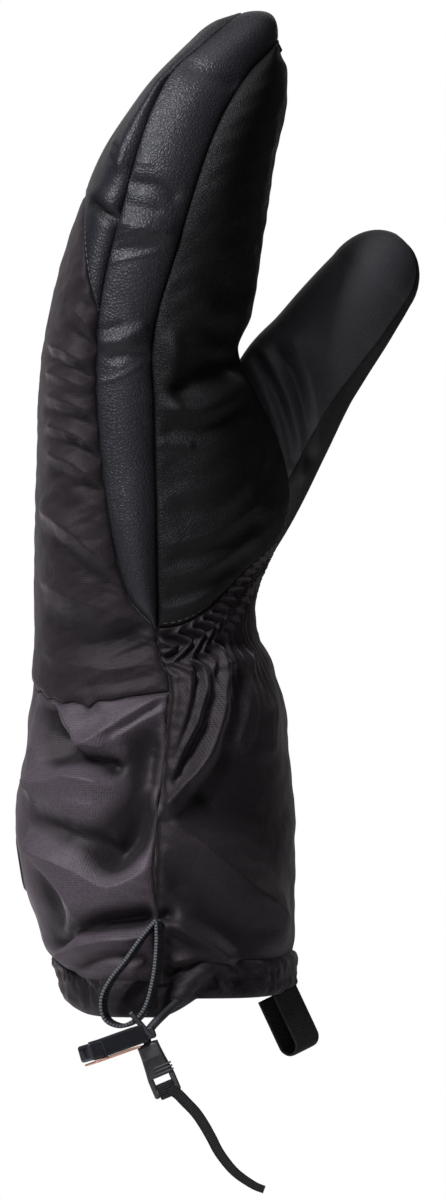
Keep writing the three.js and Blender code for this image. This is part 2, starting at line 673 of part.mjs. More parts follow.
// Casing round the mouth: rows go round its section, columns round the mouth.
const hemShares = [
  ...steps(gauntletPalmColumns).slice(0, -1).map((share) => ({ face: 'palm', share })),
  ...steps(backColumns).slice(0, -1).map((share) => ({ face: 'back', share: 1 - share })),
];
const hemSkin = ({ face, share }, drop, out) => {
  const top = hemLine(face, share) - clearance / 2;
  const bottom = mouthLine(face, share);
  const z = mix(top, bottom, drop);
  const point = cuffSkin(face, share, z);
  return lifted(point, sectionAt(z).seam, out);
};
const hemProfile = [
  { drop: 0, out: 0 },
  { drop: 0.3, out: hemPuff },
  { drop: 0.75, out: hemPuff },
  { drop: 1, out: -0.3 * hemPuff },
];
const hemOuter = hemProfile.map(({ drop, out }) =>
  hemShares.map((entry, j) => hemSkin(entry, drop, out + (j % 2 === 0 && out > 0 ? 0.4 * hemPuff : 0))),
);
const hemInner = hemProfile.map(({ drop, out }) =>
  hemShares.map((entry) => hemSkin(entry, drop, -hemWall + Math.min(out, 0) - 0.2 * out)),
);
addPiece('hem_casing', wallGeometry(hemOuter, hemInner, true), ripstop);

const turned = (spot, ...turns) => {
  const matrix = new THREE.Matrix4().makeTranslation(spot);
  for (const turn of turns) matrix.multiply(turn);
  return matrix;
};
const aboutY = (angle) => new THREE.Matrix4().makeRotationY(degrees(angle));
const aboutZ = (angle) => new THREE.Matrix4().makeRotationZ(degrees(angle));
const placed = (geometry, matrix) => tidy(geometry.applyMatrix4(matrix));

// Switch of the heater: a low dome on the middle of the cuff's back.
const switchDrop = 0.595;
const switchTilt = 9; // degrees, facing down
const dome = [
  { out: 0, up: 0 },
  { out: 1, up: 0 },
  { out: 1, up: 0.45 },
  { out: 0.93, up: 0.8 },
  { out: 0.72, up: 1 },
  { out: 0, up: 1 },
];
const domeProfile = dome.map(
  ({ out, up }) => new THREE.Vector2((out * switchDiameter) / 2, up * switchHeight),
);
const switchZ = -switchDrop * cuffLength;
const switchSpot = vec(sectionAt(switchZ).back - 1.5 * clearance, 0, switchZ);
const switchFrame = turned(switchSpot, aboutY(-switchTilt), aboutZ(90));
addPiece('heater_switch', placed(new THREE.LatheGeometry(domeProfile, 24), switchFrame), plastic);

// Trim hangs outside the near side seam. Routes are seen from the little-finger side: across is along
// X and up along Z, in millimetres from the named start.
const rootDrop = 0.733 * cuffLength;
const rootSpot = vec(sectionAt(-rootDrop).seam, -sectionAt(-rootDrop).half - clearance, -rootDrop);

// A flat outline in the XZ plane, drawn out towards the little-finger side from y = 0.
function flatSolid(shape, depth, curveSegments = 6) {
  const geometry = new THREE.ExtrudeGeometry(shape, { depth, bevelEnabled: false, steps: 1, curveSegments });
  return geometry.rotateX(halfTurn / 2);
}

// Both sides of a ribbon that follows a flat route, half a thickness out from it.
function ribbonSides(points, thickness, closed = false) {
  const side = (sign) =>
    points.map((point, i) => {
      const count = points.length;
      const before = points[closed ? (i + count - 1) % count : Math.max(i - 1, 0)];
      const after = points[closed ? (i + 1) % count : Math.min(i + 1, count - 1)];
      const along = after.clone().sub(before).normalize();
      return point.clone().add(new THREE.Vector2(-along.y, along.x).multiplyScalar((sign * thickness) / 2));
    });
  return [side(1), side(-1)];
}

// Keeper loop: a closed drop of webbing on edge, sewn into the seam at its top.
const keeperRoute = [
  { across: 0.0, up: -1.4 },
  { across: -5.0, up: -7.5 },
  { across: -10.5, up: -15.3 },
  { across: -15.5, up: -21.6 },
  { across: -18.6, up: -27.7 },
  { across: -18.8, up: -33.4 },
  { across: -16.8, up: -37.0 },
  { across: -12.6, up: -38.6 },
  { across: -8.8, up: -37.6 },
  { across: -5.4, up: -35.0 },
  { across: -2.8, up: -30.6 },
  { across: -1.0, up: -24.0 },
  { across: 0.2, up: -17.0 },
  { across: 0.8, up: -8.0 },
].map(({ across, up }) => new THREE.Vector2(across, up));
const keeperCurve = new THREE.SplineCurve([...keeperRoute, keeperRoute[0]]);
const [keeperInside, keeperOutside] = ribbonSides(keeperCurve.getPoints(42).slice(0, -1), webbing, true);
const keeperTop = new THREE.Vector2(clearance, clearance);
const keeperShape = new THREE.Shape([keeperTop, ...keeperOutside.slice(1, -1)]);
keeperShape.holes.push(new THREE.Path(keeperInside.slice(4, -3))); // both ends are sewn together at the top
const keeper = addPiece('keeper_loop', tidy(flatSolid(keeperShape, keeperWidth)), webMaterial);
keeper.position.copy(rootSpot);

// Drawcord: out of the casing, through the lock, round inside the pull and back.
const strandGap = 3.3;
const cordOut = 5.4; // how far outside the seam the cord hangs at the lock
const gripAcross = 0.5;
const gripDrop = 5.5; // of the lock's neck below the mouth
const mouthAtCord = mouthLine('palm', 0.025);
const gripSpot = vec(gripAcross, rootSpot.y - cordOut, -cuffLength - gripDrop);
const half = strandGap / 2;
const fromGrip = (across, side, up) => gripSpot.clone().add(vec(across, side, up));
const cordRoute = [
  vec(10.4, -57.4, mouthAtCord - 2.4),
  vec(9.4, -58.8, mouthAtCord - 3.5),
  fromGrip(6.3, 5.6, 5.8),
  fromGrip(2.7, half + 0.5, 3.6),
  fromGrip(0.4, half, 1.0),
  fromGrip(0.1, half, -1.8),
  fromGrip(0.7, half, -4.6),
  fromGrip(1.1, 0, -6.3),
  fromGrip(0.7, -half, -4.6),
  fromGrip(0.1, -half, -1.8),
  fromGrip(0.5, -half, 1.0),
  fromGrip(3.3, -half + 0.2, 4.0),
  fromGrip(8.1, 2.2, 7.0),
  vec(13.4, -59.8, mouthAtCord - 2.2),
  vec(14.6, -57.4, mouthAtCord - 0.8),
];
const cordCurve = new THREE.CatmullRomCurve3(cordRoute);
function cordGeometry(diameter, sides, count) {
  const ring = steps(sides).slice(0, -1).map((share) => {
    const turn = share * 2 * halfTurn;
    return new THREE.Vector2(Math.cos(turn), Math.sin(turn)).multiplyScalar(diameter / 2);
  });
  const path = { extrudePath: cordCurve, steps: count, bevelEnabled: false };
  return tidy(new THREE.ExtrudeGeometry(new THREE.Shape(ring), path));
}
addPiece('hem_cord', cordGeometry(cordDiameter, 8, 30), webMaterial);
const cordChannel = solidOf(cordGeometry(cordDiameter + 3 * clearance, 8, 30));

// A box with its corners cut, centred on the origin.
function chamferedBox(length, depth, height, cut) {
  const outline = new THREE.Shape();
  const [x, z] = [length / 2, height / 2];
  outline.moveTo(-x + cut, -z).lineTo(x - cut, -z).lineTo(x, -z + cut).lineTo(x, z - cut);
  outline.lineTo(x - cut, z).lineTo(-x + cut, z).lineTo(-x, z - cut).lineTo(-x, -z + cut);
  return tidy(flatSolid(outline, depth).translate(0, depth / 2, 0));
}

// Cord lock: a body with a narrow neck that grips both strands, and an arm beside the keeper loop.
const lockFrame = turned(gripSpot, aboutY(-lockRise), aboutZ(lockTurn));
const lockLift = 0.6;
const lockBox = chamferedBox(lockLength, lockDepth, lockHeight, corner);
lockBox.translate(-neckLength / 2 - lockLength / 2 + moulded, 0, lockLift);
const neckBox = chamferedBox(neckLength, socketDepth, neckHeight, corner);
const armBox = chamferedBox(armLength, armThickness, armThickness, armThickness / 6);
armBox.translate(-armLength / 2 + moulded, 0, 0);
const armSide = -socketDepth / 2 - armThickness / 2 + moulded;
const armFrame = turned(fromGrip(1.2, armSide, -0.4), aboutY(armTurn));
const lockSolid = solidOf(placed(lockBox, lockFrame))
  .add(solidOf(placed(neckBox, turned(gripSpot, aboutY(-lockRise)))))
  .add(solidOf(placed(armBox, armFrame)))
  .subtract(cordChannel);
addPiece('lock_body', geometryFrom(lockSolid), plastic);

const linerBox = chamferedBox(linerLength, lockDepth - clearance, linerThickness, linerThickness / 4);
const linerDrop = lockHeight / 2 + linerThickness / 2 + clearance - lockLift;
linerBox.translate(-neckLength / 2 - lockLength / 2 - corner, 0, -linerDrop);
addPiece('lock_liner', placed(linerBox, lockFrame), copper);

// Pull: a socket over the turn of the cord, a flat grip with ribs, and an eye above its foot.
const pullTop = fromGrip(0, 0, -neckHeight / 2 - 3 * clearance);
const pullFrame = turned(pullTop, aboutY(-pullLean));
const pullOutline = new THREE.Shape();
const [topHalf, footHalf] = [pullWidth / 2, pullFootWidth / 2];
const foot = -pullLength;
pullOutline.moveTo(-topHalf, 0).lineTo(-topHalf + pullWaist, foot * 0.45);
pullOutline.lineTo(-footHalf, foot + footHeight).lineTo(-footHalf, foot + corner);
pullOutline.lineTo(-footHalf + corner, foot).lineTo(footHalf - corner, foot);
pullOutline.lineTo(footHalf, foot + corner).lineTo(footHalf, foot + footHeight);
for (const step of [0, 1, 2]) {
  const up = foot + ribRise + step * ribPitch;
  pullOutline.lineTo(topHalf + ribDepth, up - ribThickness).lineTo(topHalf + ribDepth, up);
  pullOutline.lineTo(topHalf, up);
}
pullOutline.lineTo(topHalf, 0);
const eyeTop = foot + barHeight + eyeHeight;
const eye = new THREE.Path();
eye.moveTo(-eyeWidth / 2, eyeTop - corner).lineTo(-eyeWidth / 2, eyeTop - eyeHeight);
eye.lineTo(eyeWidth / 2, eyeTop - eyeHeight).lineTo(eyeWidth / 2, eyeTop - corner);
eye.lineTo(eyeWidth / 2 - corner, eyeTop).lineTo(-eyeWidth / 2 + corner, eyeTop);
pullOutline.holes.push(eye);
const pullSheet = tidy(flatSolid(pullOutline, pullDepth).translate(0, pullDepth / 2, 0));
const socketBox = chamferedBox(pullWidth, socketDepth, socketHeight, corner);
socketBox.translate(0, 0, -socketHeight / 2);
const pullSolid = solidOf(placed(pullSheet, pullFrame))
  .add(solidOf(placed(socketBox, pullFrame)))
  .subtract(cordChannel);
addPiece('cord_pull', geometryFrom(pullSolid), rubber);

// Tail: a band of webbing round the pull's foot, and a free end that hangs from it.
const bandOuter = [pullDepth / 2 + clearance + webbing, barHeight / 2 + clearance + webbing];
const bandInner = [pullDepth / 2 + clearance, barHeight / 2 + clearance];
const rectangle = ([x, y]) => [
  new THREE.Vector2(-x, -y),
  new THREE.Vector2(x, -y),
  new THREE.Vector2(x, y),
  new THREE.Vector2(-x, y),
];
const bandShape = new THREE.Shape(rectangle(bandOuter));
bandShape.holes.push(new THREE.Path(rectangle(bandInner)));
const band = flatSolid(bandShape, bandWidth).translate(0, bandWidth / 2, 0).rotateZ(halfTurn / 2);
band.translate(0, 0, foot + barHeight / 2);
addPiece('tail_band', placed(band, pullFrame), webMaterial);

const footSpot = vec(0, 0, foot).applyMatrix4(pullFrame);
const tailRoute = [
  { across: 0.6, up: 1.4 },
  { across: 3.0, up: 0.2 },
  { across: 6.4, up: -3.2 },
  { across: 9.8, up: -6.8 },
  { across: 12.8, up: -11.2 },
  { across: 15.4, up: -15.8 },
  { across: 18.4, up: -21.4 },
  { across: 23.6, up: -27.8 },
  { across: 30.0, up: -32.4 },
  { across: 34.2, up: -34.2 },
].map(({ across, up }) => new THREE.Vector2(across, up));
const [tailLeft, tailRight] = ribbonSides(new THREE.SplineCurve(tailRoute).getPoints(22), tailWidth);
const tailShape = new THREE.Shape([...tailLeft, ...tailRight.reverse()]);
const tail = addPiece('pull_tail', tidy(flatSolid(tailShape, webbing)), webMaterial);
tail.position.set(footSpot.x, footSpot.y - bandOuter[0] - clearance, footSpot.z);

// Tag: a folded loop of webbing that hangs from the casing in the middle of the palm half.
const tagArc = tagSpread / 2;
const tagLine = [
  new THREE.Vector2(-tagArc, tagRise),
  new THREE.Vector2(-tagArc, -tagDrop + tagArc),
  ...steps(8).map((share) => {
    const turn = halfTurn * (1 + share);
    return new THREE.Vector2(Math.cos(turn) * tagArc, Math.sin(turn) * tagArc - tagDrop + tagArc);
  }),
  new THREE.Vector2(tagArc, -tagDrop + tagArc),
  new THREE.Vector2(tagArc, tagRise),
];
const [tagLeft, tagRight] = ribbonSides(tagLine, webbing);
const tagSheet = flatSolid(new THREE.Shape([...tagLeft, ...tagRight.reverse()]), tagWidth);
tagSheet.translate(0, tagWidth / 2, 0).rotateZ(halfTurn / 2);
const tagShare = 0.3; // where it hangs, along the palm half of the mouth
const hemTilt = 6; // degrees from level, of the casing's edge there
const tagSpot = vec(47.5, -26, mouthLine('palm', tagShare) - 2 * clearance);
const tagFrame = turned(tagSpot, aboutY(-tagLean), aboutZ(tagTurn));
const belowHem = new THREE.BoxGeometry(cuffBreadth, cuffBreadth, 2 * tagDrop).translate(0, 0, -tagDrop);
const tagCut = solidOf(placed(belowHem, turned(tagSpot, aboutY(-hemTilt))));
const tagSolid = solidOf(placed(tagSheet, tagFrame)).intersect(tagCut);
addPiece('loop_tag', geometryFrom(tagSolid), webMaterial);

export default mitten;
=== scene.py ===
"""Heated ski mitten for the right hand, with a long gauntlet cuff.

Lengths are in millimetres and become metres where a mesh is made. +Z points from the wrist to the
fingertips, +X out of the palm and +Y to the thumb side.
"""

import math
from typing import NamedTuple

import bmesh
import bpy
from mathutils import Matrix, Vector, noise


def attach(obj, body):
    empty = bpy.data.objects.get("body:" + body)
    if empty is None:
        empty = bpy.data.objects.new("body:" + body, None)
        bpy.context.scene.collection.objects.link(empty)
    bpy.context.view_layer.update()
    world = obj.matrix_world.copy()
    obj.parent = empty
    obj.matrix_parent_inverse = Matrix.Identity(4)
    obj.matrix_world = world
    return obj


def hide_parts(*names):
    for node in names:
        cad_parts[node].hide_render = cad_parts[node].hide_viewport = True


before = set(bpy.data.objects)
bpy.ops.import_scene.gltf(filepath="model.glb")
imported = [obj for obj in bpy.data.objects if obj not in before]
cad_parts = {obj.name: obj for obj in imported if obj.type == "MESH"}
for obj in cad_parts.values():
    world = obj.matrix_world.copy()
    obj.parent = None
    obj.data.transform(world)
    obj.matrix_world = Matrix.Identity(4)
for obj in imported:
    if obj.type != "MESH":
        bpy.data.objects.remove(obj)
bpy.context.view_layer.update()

MM = 0.001
HALF_TURN = math.pi
FULL_TURN = 2 * HALF_TURN
QUARTER_TURN = HALF_TURN / 2

# Hand sizes
HAND_LENGTH = 226
HAND_DEPTH = 92
HAND_BREADTH = 112
HAND_WALL = 4.0
WRIST_BREADTH = 101

# Cuff sizes
CUFF_LENGTH = 134.5
CUFF_FLARE = 20
CUFF_BREADTH = 124
CUFF_WALL = 1.0
HEM_HEIGHT = 13.5
HEM_WALL = 4.2

# Thumb sizes
THUMB_REACH = 118
THUMB_RADIUS = 22
THUMB_WALL = 3.5
THUMB_SIDE_SHIFT = 21
THUMB_FLATNESS = 1.03

# Seams
SEAM_DEPTH = 1.3
CLOTH_SEAM_DEPTH = 0.4
TIP_SEAM_DEPTH = 0.5
SETTLE = 1.6
# SEAM_SHADE: how far the painted shade along a seam groove reaches, in millimetres
SEAM_SHADE = 0.5
SEAM_TIP_START = 0.8
SEAM_TIP_SPAN = 0.17
SEAM_CUFF_SPAN = 12
# HOLLOW_SPAN: fold lift over which the painted shade in fold valleys goes from none to full, in
# millimetres
HOLLOW_SPAN = 6

# Folds: how far they reach and where they start to fade out, in half widths or millimetres
FOLD_REACH = 2.6
FOLD_END = 3
FOLD_CLEAR = 3
CUFF_CLEAR = 15
BACK_CLEAR = 22
FOLD_FADE = 20

# Stitches
STITCH_SPACING = 2.6
STITCH_LENGTH = 1.7
STITCH_THICKNESS = 0.5

# Heights
WRIST_SEAM = 0.02 * HAND_LENGTH
SWITCH_DROP = 0.595 * CUFF_LENGTH
PALM_RISE = 0.137 * HAND_LENGTH
FOLD_DROP = 0.138 * CUFF_LENGTH
TIP_START = 0.7
PALMAR_TOP = 0.957

# Shapes of the sections
BACK_FULLNESS = 0.75
PALM_FULLNESS = 0.68
WRIST_BLEND = 0.2
TIP_ROUNDING = 0.45
CAP_LOW = 0.52
CAP_HIGH = 0.71

# Opening of the palm into the thumb, and how far the thumb's panels reach under the palm
THUMB_OPENING = 0.62
THUMB_OPENING_LOW = 20
THUMB_OPENING_HIGH = 100
THUMB_BURIAL = 5
THUMB_ROOT_REACH = 50


def table(names, *rows):
    """Rows with named columns."""
    keys = names.split()
    return [dict(zip(keys, row)) for row in rows]


# Sections of the hand: shares of its length, and places as shares of its depth.
HAND = table(
    "height back dorsal palmar palm",
    (0.0, -0.438, 0.047, 0.047, 0.451),
    (0.02, -0.438, 0.036, 0.047, 0.435),
    (0.06, -0.438, -0.055, 0.047, 0.428),
    (0.1, -0.438, -0.097, 0.045, 0.454),
    (0.16, -0.436, -0.133, 0.042, 0.522),
    (0.22, -0.433, -0.159, 0.039, 0.563),
    (0.3, -0.427, -0.182, 0.034, 0.533),
    (0.38, -0.423, -0.196, 0.032, 0.449),
    (0.456, -0.407, -0.193, 0.025, 0.361),
    (0.52, -0.38, -0.185, 0.05, 0.411),
    (0.6, -0.332, -0.15, 0.11, 0.448),
    (0.7, -0.251, -0.085, 0.183, 0.48),
    (0.78, -0.165, -0.033, 0.249, 0.511),
    (0.84, -0.072, 0.02, 0.314, 0.545),
    (0.9, 0.041, 0.102, 0.407, 0.556),
    (0.95, 0.165, 0.233, 0.512, 0.52),
    (0.985, 0.265, 0.33, 0.53, 0.53),
    (1.0, 0.375, 0.375, 0.53, 0.53),
)

# Sections of the cuff: drops as shares of its length, places as shares of its flare.
CUFF = table(
    "drop back seam palm width",
    (0.0, 0.0, 0.0, 0.0, 0.0),
    (0.05, 0.005, 0.065, 0.205, 0.02),
    (0.1, 0.01, 0.19, 0.29, 0.15),
    (0.15, 0.02, 0.225, 0.375, 0.3),
    (0.2, 0.075, 0.185, 0.445, 0.42),
    (0.3, 0.18, 0.13, 0.505, 0.6),
    (0.4, 0.285, 0.065, 0.575, 0.75),
    (0.5, 0.33, -0.03, 0.625, 0.87),
    (0.6, 0.26, -0.04, 0.6, 0.96),
    (0.7, 0.07, -0.015, 0.59, 1.0),
    (0.8, -0.15, -0.01, 0.635, 0.96),
    (0.9, -0.42, 0.0, 0.66, 0.86),
    (1.0, -0.5, 0.0, 0.66, 0.8),
)

# Spine of the thumb: out and up as shares of its reach, girth as a share of its radius.
THUMB = table(
    "along out up girth",
    (0.0, 0.237, 0.29, 0.8),
    (1 / 7, 0.305, 0.475, 0.97),
    (2 / 7, 0.381, 0.647, 1.0),
    (3 / 7, 0.458, 0.792, 0.97),
    (4 / 7, 0.535, 0.892, 0.885),
    (5 / 7, 0.631, 1.019, 0.82),
    (6 / 7, 0.7, 1.113, 0.745),
    (1.0, 0.778, 1.236, 0.6),
)

# Folds, seen from the little-finger side. A route runs across and up in millimetres from the middle
# of the wrist. Width is the fold's half width and lift its height, less than 0 for a valley. A crisp
# fold has a sharp crest.
CUFF_FOLDS = table(
    "side crisp width lift route",
    ("near", 1, 10, 4.6, ((-38, -15), (-32.8, -20), (-26, -29.5), (-21, -36.5), (-15, -38))),
    ("near", 0, 5, -6, ((-35, -26), (-33.5, -34), (-33, -41))),
    ("near", 0, 4, -5, ((-30, -36), (-26, -40.5), (-19, -42), (-13, -45))),
    ("near", 1, 8, 4.4, ((-41, -18), (-40.5, -34), (-39, -50))),
    ("near", 1, 8, 3.6, ((-38, -52), (-28, -48.5), (-17, -50))),
    ("near", 1, 7, 4, ((7, -18.5), (-4, -26), (-14, -33), (-20, -37.5))),
    ("near", 0, 2, -2, ((6, -22), (-4, -28.5), (-12, -33.5))),
    ("near", 1, 4, 1.8, ((6, -25), (-2, -29.5), (-8, -33.5))),
    ("near", 0, 3, -2, ((-23, -19), (-21.4, -25), (-19.5, -19.5))),
    ("near", 0, 9, -5.4, ((2, -42), (-3, -56), (-9, -68), (-12.5, -75))),
    ("near", 0, 5, -4.4, ((-41, -63), (-33, -67), (-21, -71.5), (-13, -77), (-4, -71), (2, -62))),
    ("near", 1, 12, 4.6, ((-38, -75), (-24, -82), (-13, -88), (-1, -83), (6, -76))),
    ("near", 1, 9, 4.2, ((-42, -64), (-36, -78), (-27.5, -90), (-24, -98), (-29, -110))),
    ("near", 0, 5, -4.6, ((-45, -70), (-40, -82), (-34, -94), (-35, -106))),
    ("near", 0, 3.4, -6.4, ((-30, -108), (-25, -103), (-15, -100.5), (-2, -99), (7, -98.5))),
    ("near", 1, 6, 3.2, ((-28, -113), (-16, -107.5), (-5, -106.5), (4, -104))),
    ("near", 0, 2.6, -2.2, ((-24, -114.5), (-12, -112), (-2, -113.5))),
    ("near", 0, 9, 2, ((-28, -58), (-18, -60), (-8, -54))),
    ("near", 1, 6, 3.6, ((15, -9), (14.5, -25), (9, -43))),
    ("near", 1, 6, 4.2, ((21.6, -12), (18, -28), (11.5, -42), (6.5, -58))),
    ("near", 1, 7, 4.6, ((28, -8), (26, -27), (20, -43), (7, -58))),
    ("near", 0, 2.2, -2.8, ((18.5, -12), (16, -27), (10, -42))),
    ("near", 0, 2.6, -3.2, ((24.5, -12), (21.5, -30), (14, -45), (8, -54))),
    ("near", 0, 5, -2.4, ((33, -14), (31, -34), (23, -54))),
    ("near", 1, 6, 2.8, ((37, -6), (36.5, -20), (33, -36))),
    ("near", 1, 7, 2, ((45.5, -16), (46, -38))),
    ("near", 1, 4, 2.2, ((9, -19), (8.5, -33), (5.5, -48))),
    ("near", 0, 9, -2.4, ((20, -62), (34, -60), (46, -66))),
    ("near", 1, 14, 4, ((7, -63), (21, -74), (38, -89), (51, -101))),
    ("near", 0, 7, -2.4, ((7, -76), (18, -92), (32, -104))),
    ("near", 1, 7, 4.6, ((5.5, -99), (14, -104), (22, -108.5), (29, -114))),
    ("near", 0, 2.4, -3.4, ((8, -117), (20, -119), (28, -117.5))),
    ("near", 0, 2.4, -2.8, ((8, -105), (16, -109), (24, -114))),
    ("near", 1, 4, 2.6, ((10, -115), (19, -113), (24, -115))),
    ("far", 0, 3, -2, ((-32, -20), (-20, -25), (-6, -22), (7, -18.5))),
    ("far", 1, 9, 4, ((-36, -24), (-24, -34), (-10, -33), (4, -22))),
    ("far", 0, 6, -4.4, ((-38, -44), (-26, -46), (-12, -42))),
    ("far", 1, 9, 3.6, ((-40, -56), (-26, -54), (-10, -58), (2, -66))),
    ("far", 1, 12, 3.4, ((-44, -72), (-28, -80), (-10, -82), (2, -76))),
    ("far", 1, 7, -4.4, ((-34, -100), (-20, -97), (-4, -101))),
    ("far", 1, 6, 3.2, ((-32, -109), (-18, -106), (-4, -107))),
    ("far", 1, 6, 3.6, ((16, -9), (20, -20), (13, -42), (6, -60))),
    ("far", 0, 3.2, -2.8, ((24, -12), (22, -34), (12, -54))),
    ("far", 1, 7, 3.8, ((31, -9), (31, -28), (22, -50), (10, -68))),
    ("far", 1, 7, 2.4, ((42, -12), (43, -36), (38, -52))),
    ("far", 1, 12, 3.4, ((5, -70), (22, -84), (42, -96))),
    ("far", 0, 7, -2.4, ((20, -66), (36, -72), (48, -84))),
    ("far", 1, 6, 3.4, ((8, -108), (20, -107), (34, -113))),
)

BACK_FOLDS = table(
    "side crisp width lift route",
    ("near", 1, 4, 2, ((-24, 117), (-19.5, 112.5), (-17, 108))),
    ("near", 0, 2, -1.2, ((-25, 110), (-20, 106), (-17.5, 104))),
    ("near", 1, 5, 2.2, ((-37, 108), (-28, 103.5), (-18, 97.5))),
    ("near", 0, 2.4, -1.4, ((-35, 101), (-27, 97.5), (-18, 93.5))),
    ("near", 1, 4.6, 1.9, ((-34, 96), (-26, 92.5), (-17, 88.5))),
    ("near", 1, 4.6, 1.8, ((-33, 87), (-25, 84), (-17, 80))),
    ("near", 0, 2.4, -1.4, ((-33, 82), (-25, 79.5), (-17, 76))),
    ("near", 1, 4, 2.2, ((-33, 76.5), (-25, 73.5), (-17, 68.5))),
    ("near", 0, 2.2, -1.4, ((-30, 71.5), (-24, 69), (-16, 64.5))),
    ("near", 1, 4.4, 2.3, ((-33, 66.5), (-25, 63), (-15.5, 57.5))),
    ("near", 0, 2.4, -1.4, ((-31, 59.5), (-24, 56), (-15, 51.5))),
    ("near", 1, 7, 2.6, ((-37, 47), (-28, 40.5), (-20, 33.5), (-12.5, 27))),
    ("near", 0, 4, -1.6, ((-34, 38), (-26, 31), (-14, 21))),
    ("near", 1, 8, 1.8, ((-38, 22), (-28, 16), (-10, 9))),
    ("near", 0, 6, -1.4, ((-34, 8), (-22, 2), (-6, 1))),
    ("near", 1, 6, 1.6, ((-38, -4), (-26, -9), (-10, -10), (4, -8))),
    ("far", 1, 5, 2, ((-37, 104), (-28, 99), (-19, 94))),
    ("far", 1, 5, 2, ((-34, 84), (-26, 80), (-17, 76))),
    ("far", 1, 5, 2, ((-34, 69), (-25, 64), (-16, 60))),
    ("far", 1, 7, 2.2, ((-36, 44), (-26, 37), (-12, 28))),
    ("far", 1, 8, 1.8, ((-36, 14), (-24, 8), (-6, 4))),
)

LEATHER_FOLDS = table(
    "side crisp width lift route",
    ("near", 1, 9, 2.4, ((-10, 149), (-2, 147.5), (7, 145))),
    ("near", 0, 2.6, -1.3, ((-5, 163), (3, 162), (10, 159))),
    ("near", 0, 1.8, -0.6, ((-7, 155.5), (-1, 153.5), (4, 153))),
    ("near", 0, 3, -0.8, ((-10, 140), (0, 141), (6, 143))),
    ("near", 1, 1.6, 0.5, ((-4, 171), (2, 170))),
    ("near", 1, 1.8, 0.5, ((-11, 141), (-4, 142.5), (2, 145))),
    ("near", 1, 1.4, 0.5, ((-9, 144.5), (1, 147.5))),
    ("near", 1, 1.4, 0.5, ((-12, 135), (4, 138.5))),
    ("near", 0, 2.6, 1.5, ((-18, 106), (-8, 107), (-1, 111))),
    ("near", 0, 2, -1.2, ((-11, 101), (-5, 102), (1, 101.5))),
    ("near", 0, 1.8, -0.7, ((-18, 109.5), (-10, 112))),
    ("near", 1, 1.5, 0.5, ((-17, 92), (-9, 94), (-2, 98))),
    ("near", 0, 3.4, -1.2, ((16, 205), (24, 202), (31, 199))),
    ("far", 0, 2.6, 1.4, ((-18, 112), (-8, 110), (0, 106))),
    ("far", 0, 2.2, -1.1, ((-10, 104), (0, 101))),
    ("far", 1, 1.6, 1, ((-8, 158), (4, 152))),
    ("far", 0, 2, -1, ((-8, 150), (6, 147))),
)

CAP_FOLDS = table(
    "side crisp width lift route",
    ("near", 0, 1.7, -2.4, ((-18, 155.5), (-15, 152.4), (-9, 149.8))),
    ("near", 0, 3.4, 1.1, ((-17, 160), (-13, 157), (-8, 155))),
    ("near", 1, 1.3, 0.6, ((-11, 178), (-7, 174))),
    ("near", 1, 1.3, 0.6, ((-12, 174), (-6.5, 170))),
    ("near", 0, 2.2, 1.4, ((-9, 170), (-6, 181), (0, 191), (6, 200))),
    ("far", 0, 1.9, -2.2, ((-18, 156), (-15, 152), (-9, 151))),
    ("far", 0, 3, 1, ((-16, 160), (-9, 157))),
)

PALM_FOLDS = table(
    "side crisp width lift route",
    ("near", 0, 4, 1.5, ((9, 106), (9, 96), (9.5, 84))),
    ("near", 0, 4, 1.6, ((11, 104), (20, 105), (29, 103))),
    ("near", 0, 4.4, -3.6, ((12, 89), (18, 93), (26, 97), (34, 97.5))),
    ("near", 0, 4.4, 2.4, ((12, 83), (20, 82), (28, 86), (33, 91))),
    ("near", 0, 4, -1.4, ((10, 75.5), (22, 76), (32, 81))),
    ("near", 1, 2.6, 0.9, ((4, 69.5), (9, 70.5), (16, 69.5))),
    ("near", 0, 2.8, 1.3, ((37.5, 77), (41, 70), (41, 60), (38, 53))),
    ("near", 0, 2.6, -1.6, ((34, 100), (38, 94), (41, 86))),
    ("near", 0, 4, -0.9, ((14, 46), (28, 50), (42, 59))),
    ("near", 1, 5, 1.1, ((10, 34), (24, 38), (40, 49))),
    ("near", 0, 3.4, -0.9, ((12, 29), (26, 33), (40, 42))),
    ("near", 1, 5, 1.1, ((10, 22), (24, 27), (38, 37))),
    ("near", 0, 3, -0.8, ((10, 16), (22, 20), (36, 30))),
    ("near", 1, 4, 0.9, ((7, 11), (18, 14), (30, 23))),
    ("near", 0, 6, -0.8, ((24, 128), (34, 124), (41, 126))),
    ("near", 0, 3.6, 0.7, ((24, 117), (33, 118), (40, 122))),
    ("far", 0, 4.4, 1.6, ((3, 108), (14, 108), (26, 106))),
    ("far", 0, 4.8, -2.4, ((6, 96), (18, 98), (32, 99))),
    ("far", 0, 4, 1.2, ((10, 20), (24, 25), (38, 36))),
)

THUMB_FOLDS = table(
    "side crisp width lift route",
    ("near", 1, 4.5, 2.2, ((37.5, 100), (43, 90), (48, 76), (51, 62))),
    ("near", 0, 2.4, -2.2, ((40, 101), (46, 90), (51, 76), (53, 64))),
    ("near", 1, 5, 2.6, ((43, 103), (50, 90), (54.5, 74), (56, 60))),
    ("near", 0, 2.6, -2.2, ((47, 104), (54, 92), (58, 76), (58.5, 66))),
    ("near", 1, 5, 1.4, ((54, 106), (59, 94), (61.5, 80), (61.5, 70))),
    ("near", 0, 4, -0.8, ((62, 112), (66, 98), (67, 88))),
    ("far", 0, 2.6, -1.8, ((37, 97), (42, 88), (45, 80))),
    ("far", 1, 5, 1.6, ((39, 104), (47, 92), (50, 78))),
)

